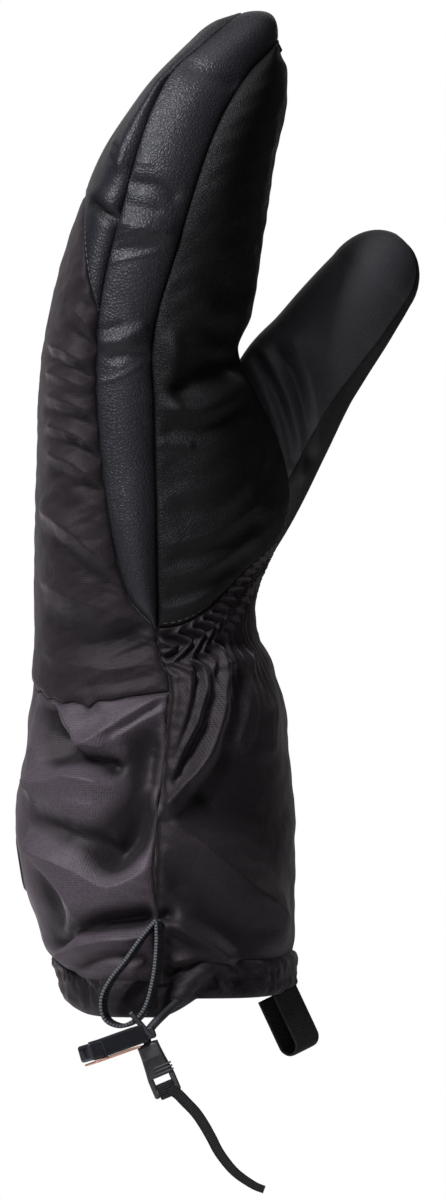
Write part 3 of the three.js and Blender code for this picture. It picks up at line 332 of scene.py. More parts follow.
HEM_FOLDS = table(
    "side crisp width lift route",
    ("near", 0, 3.2, 3, ((21, -118), (16, -122), (12.5, -127))),
    ("near", 0, 2.4, -1.8, ((27, -120), (20, -126))),
    ("near", 0, 2.6, -1.6, ((7, -121), (5, -131))),
    ("near", 0, 3.4, 1, ((-12, -120), (-14, -130))),
    ("near", 0, 3, -1, ((-20, -118), (-21, -130))),
    ("near", 0, 3, 1, ((-26, -116), (-28, -128))),
    ("near", 0, 4, -1, ((36, -116), (35, -126))),
    ("far", 0, 3.4, 1.4, ((14, -119), (12, -130))),
    ("far", 0, 3, -1.2, ((-12, -119), (-14, -130))),
)


def mix(a, b, share):
    return a + (b - a) * share


def clamp(value, low, high):
    return min(max(value, low), high)


def read(rows, key, column, place):
    """Smooth reading of one column of a table whose rows are in the order of the key."""
    last = len(rows) - 1
    at = clamp(place, rows[0][key], rows[last][key])
    i = 0
    while i < last - 1 and rows[i + 1][key] < at:
        i += 1

    def slope(j):
        a, b = rows[max(j - 1, 0)], rows[min(j + 1, last)]
        return (b[column] - a[column]) / (b[key] - a[key])

    a, b = rows[i], rows[i + 1]
    span = b[key] - a[key]
    t = (at - a[key]) / span
    square, cube = t * t, t * t * t
    return (
        (2 * cube - 3 * square + 1) * a[column]
        + (cube - 2 * square + t) * span * slope(i)
        + (3 * square - 2 * cube) * b[column]
        + (cube - square) * span * slope(i + 1)
    )


def hand_read(column, height):
    return HAND_DEPTH * read(HAND, "height", column, height)


def hand_half(height):
    """Half the breadth at a share of the hand's height."""
    fill = math.sin(min(max(height, 0), WRIST_BLEND) / WRIST_BLEND * QUARTER_TURN)
    half = mix(WRIST_BREADTH, HAND_BREADTH, fill) / 2
    rounding = clamp((height - TIP_START) / (1 - TIP_START), 0, 1)
    return half * (1 - rounding**2) ** TIP_ROUNDING


def section_at(z):
    """The back, side seam and palm places and the half breadth at a height."""
    if z >= 0:
        height = z / HAND_LENGTH
        places = [hand_read(column, height) for column in ("back", "palmar", "palm")]
        return (*places, hand_half(height))
    drop = -z / CUFF_LENGTH
    back, seam, palm, _ = section_at(0)
    width = read(CUFF, "drop", "width", drop)
    return (
        back - CUFF_FLARE * read(CUFF, "drop", "back", drop),
        seam + CUFF_FLARE * read(CUFF, "drop", "seam", drop),
        palm + CUFF_FLARE * read(CUFF, "drop", "palm", drop),
        mix(WRIST_BREADTH, CUFF_BREADTH, width) / 2,
    )


def arc_point(edge, crown, half, share, z, fullness):
    """A point of an arc from the near edge, at share 0, over a crown to the far edge, at share 1."""
    angle = (share - 0.5) * HALF_TURN
    lift = max(math.cos(angle), 0) ** fullness
    return Vector((mix(edge, crown, lift), half * math.sin(angle), z))


def cuff_skin(face, share, z):
    back, seam, palm, half = section_at(z)
    if face == "back":
        return arc_point(seam, back, half, share, z, BACK_FULLNESS)
    return arc_point(seam, palm, half, share, z, PALM_FULLNESS)


def back_skin(share, height):
    z = height * HAND_LENGTH
    if height < 0:
        return cuff_skin("back", share, z)
    dorsal, back = hand_read("dorsal", height), hand_read("back", height)
    return arc_point(dorsal, back, hand_half(height), share, z, BACK_FULLNESS)


def palm_skin(share, height):
    low = height * PALMAR_TOP
    z = low * HAND_LENGTH
    palmar, palm = hand_read("palmar", low), hand_read("palm", low)
    return arc_point(palmar, palm, hand_half(height), share, z, PALM_FULLNESS)


def fold_line(share):
    """Where the padded back ends over the cuff."""
    angle = share * HALF_TURN
    dip = 0.035 * abs(math.sin(2 * angle)) - 0.03 * math.sin(angle) ** 4
    dip += 0.014 * math.exp(-(((min(share, 1 - share) - 0.16) / 0.014) ** 2))
    dip += 0.005 * math.sin(26 * angle) * math.sin(angle)
    return -FOLD_DROP - dip * CUFF_LENGTH


def palm_edge(share):
    """Where the palm leather ends: level with the wrist at its sides, higher in the middle."""
    return WRIST_SEAM + PALM_RISE * math.sin(share * HALF_TURN) ** 1.6


def mouth_line(face, share):
    across = math.sin(share * HALF_TURN)
    if face == "back":
        return -CUFF_LENGTH * (1 - 0.055 * across**6)
    return -CUFF_LENGTH * (1 - 0.05 * min(across * 6.4, 1) - 0.02 * across**6)


def hem_line(face, share):
    return mouth_line(face, share) + HEM_HEIGHT


def cap_edge(share):
    """Height of the cap's lower edge, a share of the hand."""
    return mix(CAP_LOW, CAP_HIGH, max(math.sin(share * HALF_TURN), 0) ** 0.9)


def outward(point):
    """The way out of the padded form at a point of its skin."""
    z = min(point.z, 0.9 * HAND_LENGTH)
    back, _, palm, half = section_at(z)
    reach = max(half - HAND_DEPTH / 3, 0)
    axis = Vector(((back + palm) / 2, clamp(point.y, -reach, reach), z))
    return (point - axis).normalized()


def segment_distance(x, z, start, end):
    across, up = end[0] - start[0], end[1] - start[1]
    share = clamp(((x - start[0]) * across + (z - start[1]) * up) / (across**2 + up**2), 0, 1)
    return math.hypot(x - start[0] - share * across, z - start[1] - share * up)


def prepare(folds):
    """Gives each fold a rounded route, and the heights it reaches."""
    for fold in folds:
        route = smooth_route([(x, 0, z) for x, z in fold["route"]], 4 * len(fold["route"]) - 4)
        fold["route"] = [(point.x, point.z) for point in route]
        heights = [point.z for point in route]
        fold["low"] = min(heights) - FOLD_REACH * fold["width"]
        fold["high"] = max(heights) + FOLD_REACH * fold["width"]


def fold_lift(folds, point, middle=0, clear=FOLD_CLEAR):
    """How far the folds of a list lift the skin at a point. They fade out towards the middle."""
    side = "near" if point.y < middle else "far"
    lift = 0
    for fold in folds:
        if fold["side"] != side or not fold["low"] < point.z < fold["high"]:
            continue
        route = fold["route"]
        away = min(math.hypot(point.x - x, point.z - z) for x, z in route) / fold["width"]
        if away > FOLD_END:
            continue
        ends = zip(route, route[1:])
        away = min(segment_distance(point.x, point.z, a, b) for a, b in ends) / fold["width"]
        profile = clamp(1 - away, 0, 1) ** 1.4 if fold["crisp"] else math.exp(-(away**2))
        lift += fold["lift"] * profile
    return lift * clamp((abs(point.y - middle) - clear) / FOLD_FADE, 0, 1)


def roughly(point, size, seed=0):
    """Smooth noise from -1 to 1 over a length in millimetres."""
    return noise.noise(point / size + Vector((seed, 2.3 * seed, 0.7 * seed)))


# Meshes


def warped(share, amount):
    """Packs the rows of a grid towards its two edges."""
    return share - amount * math.sin(FULL_TURN * share) / FULL_TURN


def running_length(points):
    lengths = [0.0]
    for a, b in zip(points, points[1:]):
        lengths.append(lengths[-1] + (b - a).length)
    return lengths


def stitches(name, node, material, line):
    """Short threads laid along a line of points on the skin."""
    route = smooth_route(line, max(int(running_length(line)[-1] / STITCH_SPACING), 2))
    size = (STITCH_LENGTH, STITCH_THICKNESS, STITCH_THICKNESS)
    parts = []
    for a, b in zip(route, route[1:]):
        way = (b - a).to_track_quat("X", "Z").to_matrix().to_4x4()
        parts.append(block(size, STITCH_THICKNESS * 0.4, Matrix.Translation((a + b) / 2) @ way, 2))
    piece = finish_piece(joined(*parts), name, material)
    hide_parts(node)


def line_of(bm, columns, row):
    """The points of one row of a patch, from its near edge to its far edge."""
    bm.verts.ensure_lookup_table()
    start = row * (columns + 1)
    return [bm.verts[start + j].co.copy() for j in range(columns + 1)]


class Spot(NamedTuple):
    """A place on a patch. Edge and flank are distances to its nearest seam and nearest side seam."""

    point: Vector
    edge: float
    flank: float
    share: float
    row: float


def seam_depth(z):
    """Seams lie shallower over the fingertips and down the cuff."""
    tip = clamp((z - SEAM_TIP_START * HAND_LENGTH) / (SEAM_TIP_SPAN * HAND_LENGTH), 0, 1)
    cuff = clamp(-z / SEAM_CUFF_SPAN, 0, 1)
    return mix(mix(SEAM_DEPTH, TIP_SEAM_DEPTH, tip), CLOTH_SEAM_DEPTH, cuff)


def patch(columns, rows, place, lift, seams, packed=(0.75, 0.4), out=outward, reach=1.3):
    """A grid bent to place(share, row) and lifted along out by lift(spot).

    The seams are some of left, right, bottom and top. A seam's depth hangs on its place alone, so
    that two patches meet along it.
    """
    bm = bmesh.new()
    uv = bm.loops.layers.uv.new("UVMap")
    dark = bm.verts.layers.float.new("seam")
    hollow = bm.verts.layers.float.new("hollow")
    bmesh.ops.create_grid(bm, x_segments=columns, y_segments=rows, size=0.5)
    shares = [warped(j / columns, packed[0]) for j in range(columns + 1)]
    heights = [warped(i / rows, packed[1]) for i in range(rows + 1)]
    skin = [[place(share, row) for share in shares] for row in heights]
    across = [running_length(line) for line in skin]
    up = [running_length([line[j] for line in skin]) for j in range(columns + 1)]
    flat = {}
    for vert in bm.verts:
        j = round((vert.co.x + 0.5) * columns)
        i = round((vert.co.y + 0.5) * rows)
        point = skin[i][j]
        edges = {
            "l": across[i][j],
            "r": across[i][-1] - across[i][j],
            "b": up[j][i],
            "t": up[j][-1] - up[j][i],
        }
        edge = min([edges[name] for name in seams], default=1e3)
        spot = Spot(point, edge, min(edges["l"], edges["r"]), shares[j], heights[i])
        rise = lift(spot) * (1 - math.exp(-edge / SETTLE))
        # hollow is painted shade: 0 on a ridge, 0.5 where flat, 1 deep in a fold valley
        vert[hollow] = clamp(0.5 - rise / HOLLOW_SPAN, 0, 1)
        rise -= seam_depth(point.z) * math.exp(-edge / reach)
        vert.co = point + out(point) * rise
        # seam is painted shade along the seam grooves
        vert[dark] = math.exp(-edge / SEAM_SHADE)
        flat[vert] = Vector((across[i][j] - across[i][-1] / 2, up[j][i]))
    for face in bm.faces:
        for loop in face.loops:
            loop[uv].uv = flat[loop.vert] * MM
    bm.faces.ensure_lookup_table()
    bm.normal_update()
    middle = bm.faces[len(bm.faces) // 2]
    if middle.normal.dot(out(middle.calc_center_median())) < 0:
        bmesh.ops.reverse_faces(bm, faces=bm.faces)
    return bm


def finish_piece(bm, name, material, wall=0, smooth=True):
    """Gives a mesh in millimetres its wall and makes it an object in metres."""
    if wall:
        bm.normal_update()
        bmesh.ops.solidify(bm, geom=bm.faces[:], thickness=wall)
    bmesh.ops.scale(bm, vec=(MM, MM, MM), verts=bm.verts)
    mesh = bpy.data.meshes.new(name)
    bm.to_mesh(mesh)
    bm.free()
    for polygon in mesh.polygons:
        polygon.use_smooth = smooth
    piece = bpy.data.objects.new(name, mesh)
    bpy.context.scene.collection.objects.link(piece)
    mesh.materials.append(material)
    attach(piece, "root")
    return piece


def dressed(bm, name, material, slot, node, fill=0, wall=0, smooth=True):
    """A finished piece in the place of a node of the part. The fill is not used."""
    piece = finish_piece(bm, name, material, wall, smooth)
    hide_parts(node)
    return piece


def smooth_route(points, count):
    """Points at even steps along a smooth curve through a list of points, with open ends."""
    vectors = [Vector(p) for p in points]
    fine = []
    for i in range(len(vectors) - 1):
        before = vectors[max(i - 1, 0)]
        a, b = vectors[i], vectors[i + 1]
        after = vectors[min(i + 2, len(vectors) - 1)]
        for step in range(12):
            t = step / 12
            curve = 2 * a + (b - before) * t + (2 * before - 5 * a + 4 * b - after) * t**2
            fine.append((curve + (3 * a - before - 3 * b + after) * t**3) / 2)
    fine.append(vectors[-1])
    lengths = running_length(fine)
    route, i = [], 0
    for step in range(count + 1):
        at = lengths[-1] * step / count
        while i < len(fine) - 2 and lengths[i + 1] < at:
            i += 1
        share = (at - lengths[i]) / (lengths[i + 1] - lengths[i])
        route.append(fine[i].lerp(fine[i + 1], clamp(share, 0, 1)))
    return route


def carried(route):
    """Ways across a route, each the one before it carried on without twist."""
    ways = []
    wide = Vector((1, 0, 0.3))
    for i in range(len(route)):
        along = (route[min(i + 1, len(route) - 1)] - route[max(i - 1, 0)]).normalized()
        wide = (wide - along * wide.dot(along)).normalized()
        ways.append(wide)
    return ways


def swept(route, section, sides, side_way=None):
    """A closed tube along a route. section(turn, along) gives its half width and its half depth."""
    bm = bmesh.new()
    uv = bm.loops.layers.uv.new("UVMap")
    steps = len(route) - 1
    bmesh.ops.create_grid(bm, x_segments=sides, y_segments=steps, size=0.5)
    lengths = running_length(route)
    ways = [side_way] * len(route) if side_way else carried(route)
    flat = {}
    for vert in bm.verts:
        j = round((vert.co.x + 0.5) * sides)
        i = round((vert.co.y + 0.5) * steps)
        along = (route[min(i + 1, steps)] - route[max(i - 1, 0)]).normalized()
        wide = (ways[i] - along * ways[i].dot(along)).normalized()
        deep = along.cross(wide)
        across, depth = section(FULL_TURN * j / sides, i / steps)
        vert.co = route[i] + wide * across + deep * depth
        flat[vert] = Vector((j / sides, lengths[i] * MM))
    for face in bm.faces:
        for loop in face.loops:
            loop[uv].uv = flat[loop.vert]
    bmesh.ops.remove_doubles(bm, verts=bm.verts, dist=0.01)
    bmesh.ops.holes_fill(bm, edges=[edge for edge in bm.edges if edge.is_boundary])
    bmesh.ops.recalc_face_normals(bm, faces=bm.faces)
    return bm


def power(value, exponent):
    return math.copysign(abs(value) ** exponent, value)


def ribbon_section(width, thickness, taper=0):
    def section(turn, along):
        less = 1 - taper * along**2
        return (
            less * width / 2 * power(math.cos(turn), 0.25),
            less * thickness / 2 * power(math.sin(turn), 0.35),
        )

    return section


def round_section(diameter):
    def section(turn, along):
        return diameter / 2 * math.cos(turn), diameter / 2 * math.sin(turn)

    return section


def block(size, round_off, place, segments=4):
    """A box with rounded edges, centred on the origin and then placed."""
    bm = bmesh.new()
    bm.loops.layers.uv.new("UVMap")
    bmesh.ops.create_cube(bm, size=1)
    bmesh.ops.scale(bm, vec=size, verts=bm.verts)
    bmesh.ops.bevel(
        bm,
        geom=bm.edges[:],
        offset=round_off,
        segments=segments,
        profile=0.5,
        affect="EDGES",
        material=-1,
    )
    bmesh.ops.transform(bm, matrix=place, verts=bm.verts)
    return bm


def joined(*parts):
    """Several meshes as one."""
    whole = parts[0]
    for part in parts[1:]:
        mesh = bpy.data.meshes.new("part")
        part.to_mesh(mesh)
        part.free()
        whole.from_mesh(mesh)
        bpy.data.meshes.remove(mesh)
    return whole


def shifted(x, y=0, z=0):
    return Matrix.Translation((x, y, z))


def turned(spot, *turns):
    place = Matrix.Translation(spot)
    for angle, axis in turns:
        place = place @ Matrix.Rotation(math.radians(angle), 4, axis)
    return place


for listed in (CUFF_FOLDS, BACK_FOLDS, LEATHER_FOLDS, CAP_FOLDS, PALM_FOLDS, THUMB_FOLDS, HEM_FOLDS):
    prepare(listed)


# Materials


class Value:
    """A node socket with arithmetic."""

    def __init__(self, shader, socket):
        self.shader = shader
        self.socket = socket

    def math(self, operation, *others):
        return self.shader.node("Math", {"operation": operation}, self, *others)

    def __add__(self, other):
        return self.math("ADD", other)

    def __sub__(self, other):
        return self.math("SUBTRACT", other)

    def __mul__(self, other):
        return self.math("MULTIPLY", other)


class Shader:
    """A material's node tree."""

    def __init__(self, name):
        self.material = bpy.data.materials.new(name)
        self.material.use_nodes = True
        self.tree = self.material.node_tree
        self.tree.nodes.clear()
        self.surface = self.tree.nodes.new("ShaderNodeBsdfPrincipled")
        output = self.tree.nodes.new("ShaderNodeOutputMaterial")
        self.tree.links.new(self.surface.outputs["BSDF"], output.inputs["Surface"])

    def node(self, kind, settings=None, *values, out=0, **named):
        """A node of a kind, with its settings and its inputs by order or by name."""
        made = self.tree.nodes.new("ShaderNode" + kind)
        for key, value in (settings or {}).items():
            if key == "stops":
                for stop, (place, shade) in zip(self.stops(made, len(value)), value):
                    stop.position = place
                    stop.color = (shade, shade, shade, 1)
            else:
                setattr(made, key, value)
        for key, value in [*enumerate(values), *named.items()]:
            self.feed(made.inputs[key if isinstance(key, int) else key.replace("_", " ")], value)
        return Value(self, made.outputs[out])

    def stops(self, ramp, count):
        while len(ramp.color_ramp.elements) < count:
            ramp.color_ramp.elements.new(0.5)
        return ramp.color_ramp.elements

    def feed(self, socket, value):
        if isinstance(value, Value):
            self.tree.links.new(value.socket, socket)
        else:
            socket.default_value = value

    def place(self, kind="Object"):
        return self.node("TexCoord", None, out=kind)

    def noise(self, where, scale, detail=2.0, roughness=0.5, out=0):
        sockets = {"Vector": where, "Scale": scale, "Detail": detail, "Roughness": roughness}
        return self.node("TexNoise", None, out=out, **sockets)

    def cells(self, where, scale):
        return self.node("TexVoronoi", {"feature": "DISTANCE_TO_EDGE"}, Vector=where, Scale=scale)

    def ramp(self, value, *stops):
        return self.node("ValToRGB", {"stops": stops}, value)

    def blend(self, share, a, b):
        made = self.tree.nodes.new("ShaderNodeMix")
        made.data_type = "RGBA"
        self.feed(made.inputs[0], share)
        self.feed(made.inputs[6], a if isinstance(a, Value) else (*a, 1))
        self.feed(made.inputs[7], b if isinstance(b, Value) else (*b, 1))
        return Value(self, made.outputs[2])

    def bump(self, height, strength, distance, below=None):
        extra = {"Normal": below} if below else {}
        return self.node("Bump", None, Height=height, Strength=strength, Distance=distance, **extra)

    def written(self, name):
        """A value that patch() writes at each vertex."""
        return self.node("Attribute", {"attribute_name": name}, out="Fac")

    def set(self, **sockets):
        for name, value in sockets.items():
            self.feed(self.surface.inputs[name.replace("_", " ")], value)
        return self.material


# Painted shade colours, blended in where patch() writes hollow (fold valleys) and seam (seam grooves)
LEATHER_SHADE = (0.001, 0.001, 0.001)
CLOTH_SHADE = (0.0022, 0.0018, 0.002)
CLOTH_SEAM_SHADE = (0.0015, 0.0012, 0.0012)
CHECK = 0.00085
BRAID_STEP = 0.0011
BRAID_STRANDS = 8


def leather(name, colour, worn, rough, grain, depth, gloss=0.4):
    """Grained leather: raised cells with fine creases between them, and broad patches of wear."""
    s = Shader(name)
    where = s.place()
    shift = s.noise(where, 420, 2, out=1)
    bend = (0.0007, 0.0007, 0.0007)
    bent = s.node("VectorMath", {"operation": "MULTIPLY_ADD"}, shift, bend, where)
    cells = s.ramp(s.cells(bent, grain), (0.0, 0.0), (0.3, 1.0))
    fine = s.noise(where, 4200, 2)
    broad = s.noise(where, 34, 4, 0.6)
    patches = s.ramp(broad, (0.35, 0.0), (0.68, 1.0))
    tone = s.blend(patches * 0.5 + cells * 0.5 + fine * 0.3 - 0.15, colour, worn)
    # Painted shade: darker in fold valleys and along seam grooves
    shade = s.ramp(s.written("hollow"), (0.55, 0.0), (0.95, 0.75))
    tone = s.blend(shade, tone, LEATHER_SHADE)
    tone = s.blend(s.written("seam") * 0.9, tone, LEATHER_SHADE)
    roughness = patches * -0.05 + fine * 0.08 + rough
    grained = s.bump(cells * 0.8 + fine * 0.3, 0.6, depth)
    return s.set(
        Base_Color=tone,
        Roughness=roughness,
        Normal=s.bump(broad, 0.2, 0.001, grained),
        Specular_IOR_Level=gloss,
    )


def coated_cloth(name, colour, light, rough, gloss=0.3):
    """Nylon with a fine check of thicker threads."""
    s = Shader(name)
    flat = s.place(kind="UV")
    where = s.place()
    x, y = s.node("SeparateXYZ", None, flat, out=0), s.node("SeparateXYZ", None, flat, out=1)
    check = FULL_TURN / CHECK
    warp = (x * check).math("SINE")
    weft = (y * check).math("SINE")
    weave = warp.math("MAXIMUM", weft) * 0.5 + 0.5
    slubs = s.noise(where, 1300, 2)
    broad = s.noise(where, 40, 3, 0.6)
    threads = s.ramp(weave * 0.5 + slubs * 1.1 - 0.3, (0.25, 0.0), (0.75, 1.0))
    tone = s.blend(threads * 0.8 + broad * 0.2, colour, light)
    # Painted shade: darker in fold valleys, less on ridges, and along seam grooves
    shade = s.ramp(s.written("hollow"), (0.35, 0.0), (0.95, 0.92))
    tone = s.blend(shade, tone, CLOTH_SHADE)
    tone = s.blend(s.written("seam") * 0.85, tone, CLOTH_SEAM_SHADE)
    crumple = s.noise(where, 130, 4, 0.55)
    fine = s.bump(weave * 0.6 + slubs * 0.4, 0.5, 0.00018)
    return s.set(
        Base_Color=tone,
        Roughness=broad * 0.1 + rough,
        Normal=s.bump(crumple, 0.35, 0.0013, fine),
        Specular_IOR_Level=gloss,
        Sheen_Weight=0.15,
        Sheen_Roughness=0.4,
        Sheen_Tint=(1.0, 0.88, 0.92, 1.0),
        Specular_Tint=(1.0, 0.9, 0.95, 1.0),
    )


def woven_tape(name, colour, light, rib, rough):
    """Ribbed tape with lighter edges. One rib lies across it for each rib length."""
    s = Shader(name)
    flat = s.place(kind="UV")
    along = s.node("SeparateXYZ", None, flat, out=1)
    turn = s.node("SeparateXYZ", None, flat, out=0) * FULL_TURN
    edges = s.ramp(turn.math("COSINE").math("ABSOLUTE"), (0.8, 0.12), (0.96, 1.0))
    ribs = (along * (FULL_TURN / rib)).math("SINE") * 0.5 + 0.5
    wales = (turn * 26).math("SINE") * 0.5 + 0.5
    fuzz = s.noise(s.place(), 1500, 3)
    tone = s.blend((ribs * 0.7 + fuzz * 0.3) * edges, colour, light)
    return s.set(
        Base_Color=tone,
        Roughness=fuzz * 0.1 + rough,
        Normal=s.bump(ribs + wales * 0.4 + fuzz * 0.3, 0.6, 0.00035),
        Specular_IOR_Level=0.3,
    )


def braid(name, colour, light):
    """Round braided cord: two sets of strands that cross."""
    s = Shader(name)
    flat = s.place(kind="UV")
    turn = s.node("SeparateXYZ", None, flat, out=0) * (FULL_TURN * BRAID_STRANDS)
    along = s.node("SeparateXYZ", None, flat, out=1) * (FULL_TURN / BRAID_STEP)
    strands = (turn + along).math("SINE").math("MAXIMUM", (turn - along).math("SINE"))
    tone = s.blend(s.ramp(strands, (0.0, 0.0), (1.0, 1.0)), colour, light)
    return s.set(Base_Color=tone, Roughness=0.6, Normal=s.bump(strands, 0.4, 0.00012))


def moulded(name, colour, light, rough, scale=700):
    """Moulded plastic or rubber: a fine spark texture with rubbed places."""
    s = Shader(name)
    where = s.place()
    spark = s.noise(where, scale * 4, 2)
    rubbed = s.ramp(s.noise(where, 160, 3), (0.42, 0.0), (0.7, 1.0))
    return s.set(
        Base_Color=s.blend(rubbed, colour, light),
        Roughness=rubbed * -0.08 + spark * 0.12 + rough,
        Normal=s.bump(spark, 0.3, 0.0002),
    )


def brushed_strip(name, colour, light):
    """Thin metal-coloured strip with faint noise in its tone, roughness and surface."""
    s = Shader(name)
    lines = s.noise(s.place(), 300, 2)
    return s.set(
        Base_Color=s.blend(lines, colour, light),
        Roughness=lines * 0.2 + 0.3,
        Metallic=0.35,
        Normal=s.bump(lines, 0.2, 0.0002),
    )


PALM_LEATHER = leather(
    "palm_leather", (0.0019, 0.0013, 0.0016), (0.0052, 0.004, 0.0046), 0.5, 1300, 0.0002, 0.2
)
STRIP_LEATHER = leather(
    "strip_leather", (0.0085, 0.0084, 0.0108), (0.02, 0.0198, 0.0258), 0.46, 800, 0.00021, 0.4
)
# One thumb leather in two copies: lightened as painted light for the front panel, and darkened as
# painted shade for the back panel, which faces away from the light
THUMB_LIT_LEATHER = leather(
    "thumb_leather", (0.029, 0.0268, 0.031), (0.05, 0.047, 0.0535), 0.5, 1300, 0.00016, 0.4
)
THUMB_SHADED_LEATHER = leather(
    "thumb_shaded_leather", (0.006, 0.0053, 0.006), (0.011, 0.01, 0.0112), 0.5, 1300, 0.00016
)
# One ripstop in four copies whose tones stand in for light and shade: lightest on the cuff's back
# half, darker on the back panel, and darkest, as painted shade, on the cuff's palm half and the hem
CUFF_CLOTH = coated_cloth("cuff_cloth", (0.024, 0.0186, 0.0232), (0.082, 0.0645, 0.078), 0.52)
PALM_CUFF_SHADED_CLOTH = coated_cloth(
    "palm_cuff_shaded_cloth", (0.0052, 0.0041, 0.0047), (0.017, 0.0134, 0.0152), 0.5, 0.2
)
BACK_CLOTH = coated_cloth(
    "back_cloth", (0.0072, 0.0056, 0.0065), (0.025, 0.0195, 0.0225), 0.55, 0.2
)
HEM_SHADED_CLOTH = coated_cloth("hem_shaded_cloth", (0.005, 0.0041, 0.0046), (0.015, 0.0123, 0.0136), 0.55, 0.2)
KEEPER_TAPE = woven_tape("keeper_tape", (0.004, 0.004, 0.005), (0.16, 0.165, 0.18), 0.0011, 0.6)
TAIL_TAPE = woven_tape("tail_tape", (0.0025, 0.0025, 0.0028), (0.0085, 0.0085, 0.009), 0.0008, 0.7)
TAG_TAPE = woven_tape("tag_tape", (0.005, 0.005, 0.005), (0.02, 0.02, 0.02), 0.0006, 0.7)
CORD_BRAID = braid("cord_braid", (0.004, 0.004, 0.0048), (0.014, 0.014, 0.0165))
LOCK_PLASTIC = moulded("lock_plastic", (0.011, 0.0113, 0.015), (0.019, 0.0198, 0.025), 0.36)
PULL_RUBBER = moulded("pull_rubber", (0.024, 0.0245, 0.0265), (0.04, 0.04, 0.0435), 0.45)
SWITCH_RUBBER = moulded("switch_rubber", (0.008, 0.008, 0.0105), (0.014, 0.014, 0.018), 0.4)
COPPER_STRIP = brushed_strip("copper_strip", (0.62, 0.3, 0.2), (0.82, 0.5, 0.38))
THREAD = moulded("thread", (0.035, 0.037, 0.048), (0.06, 0.063, 0.078), 0.5, 900)
DARK_THREAD = moulded("dark_thread", (0.008, 0.0075, 0.008), (0.015, 0.0145, 0.0145), 0.6, 900)


# Camera, light and floor


def camera():
    """A long lens square to the little-finger side, with 446 by 1200 pixels of 0.36 mm in view."""
    pixel = 0.36
    high = 1200
    distance = 6000
    origin_across, origin_down = 146, 640
    across, up = (446 / 2 - origin_across) * pixel, (origin_down - high / 2) * pixel
    lens = bpy.data.cameras.new("camera")
    lens.sensor_fit = "VERTICAL"
    lens.sensor_height = 24
    lens.lens = lens.sensor_height * distance / (high * pixel)
    lens.clip_end = 100
    eye = bpy.data.objects.new("camera", lens)
    eye.location = Vector((across, -distance, up)) * MM
    eye.rotation_euler = (QUARTER_TURN, 0, 0)
    bpy.context.scene.collection.objects.link(eye)
    bpy.context.scene.camera = eye


def area_light(name, place, target, size, power_watts, tint=(1, 1, 1)):
    lamp = bpy.data.lights.new(name, "AREA")
    lamp.energy = power_watts
    lamp.color = tint
    lamp.shape = "RECTANGLE"
    lamp.size, lamp.size_y = size
    light = bpy.data.objects.new(name, lamp)
    light.location = place
    way = Vector(target) - Vector(place)
    light.rotation_euler = way.to_track_quat("-Z", "Y").to_euler()
    bpy.context.scene.collection.objects.link(light)


def studio():
    cool = (0.96, 0.97, 1.03)
    area_light("key", (-1.25, -1.4, 1.8), (0, 0, 0.02), (0.7, 0.7), 86, cool)
    area_light("front", (0.3, -2.6, 0.5), (0.03, 0, 0), (0.8, 1.2), 9, cool)
    area_light("top", (0.1, 0.2, 1.9), (0, 0, 0), (1.0, 1.0), 6)
    area_light("back", (-0.2, 2.4, 0.6), (0, 0, 0), (1.6, 1.6), 6)
    world = bpy.data.worlds.new("studio")
    bpy.context.scene.world = world
    world.use_nodes = True
    tree = world.node_tree
    tree.nodes.clear()
    seen = tree.nodes.new("ShaderNodeBackground")
    seen.inputs["Strength"].default_value = 1.0
    lit = tree.nodes.new("ShaderNodeBackground")
    lit.inputs["Strength"].default_value = 0.04
    for background in (seen, lit):
        background.inputs["Color"].default_value = (1, 1, 1, 1)
    path = tree.nodes.new("ShaderNodeLightPath")
    either = tree.nodes.new("ShaderNodeMixShader")
    output = tree.nodes.new("ShaderNodeOutputWorld")
    tree.links.new(path.outputs["Is Camera Ray"], either.inputs["Fac"])
    tree.links.new(lit.outputs["Background"], either.inputs[1])
    tree.links.new(seen.outputs["Background"], either.inputs[2])
    tree.links.new(either.outputs["Shader"], output.inputs["Surface"])
    bpy.context.scene.view_settings.view_transform = "Standard"


def floor():
    bm = bmesh.new()
    radius, middle = 0.55, (0.02, 0, -0.262)
    bmesh.ops.create_circle(bm, cap_ends=True, segments=96, radius=radius)
    bmesh.ops.translate(bm, vec=middle, verts=bm.verts)
    mesh = bpy.data.meshes.new("floor")
    bm.to_mesh(mesh)
    bm.free()
    ground = bpy.data.objects.new("floor", mesh)
    bpy.context.scene.collection.objects.link(ground)
    s = Shader("floor")
    pale = s.blend(s.noise(s.place(), 3, 2), (0.8, 0.8, 0.8), (0.84, 0.84, 0.84))
    mesh.materials.append(s.set(Base_Color=pale, Roughness=0.8))


camera()
studio()
floor()


# Trim places, shared by the cords and what is on them

CORD_DIAMETER = 2.9
WEBBING = 1.2
KEEPER_WIDTH = 6.0
TAIL_WIDTH = 4.0
CLEARANCE = 0.3
STRAND_GAP = 3.3

ROOT_DROP = 0.733 * CUFF_LENGTH
_, ROOT_X, _, ROOT_HALF = section_at(-ROOT_DROP)
ROOT = Vector((ROOT_X, -ROOT_HALF - CLEARANCE, -ROOT_DROP))
CORD_SIDE = -ROOT.y + 5.4
GRIP = Vector((0.5, -CORD_SIDE, -140.0))
FAR_STRAND = STRAND_GAP / 2 - CORD_SIDE
NEAR_STRAND = -STRAND_GAP / 2 - CORD_SIDE

CORD_ROUTE = [
    (12.4, -58.6, -126.6),
    (10.2, -59.6, -129.4),
    (6.4, -62.0, -133.2),
    (3.0, FAR_STRAND + 0.3, -136.6),
    (0.9, FAR_STRAND, -139.4),
    (0.6, FAR_STRAND, -141.8),
    (1.2, FAR_STRAND, -144.6),
    (1.6, -CORD_SIDE, -146.3),
    (1.2, NEAR_STRAND, -144.6),
    (0.6, NEAR_STRAND, -141.8),
    (1.2, NEAR_STRAND, -139.2),
    (4.4, NEAR_STRAND + 0.2, -135.4),
    (8.6, -64.4, -131.4),
    (11.6, -61.4, -128.6),
    (13.4, -59.4, -126.4),
]

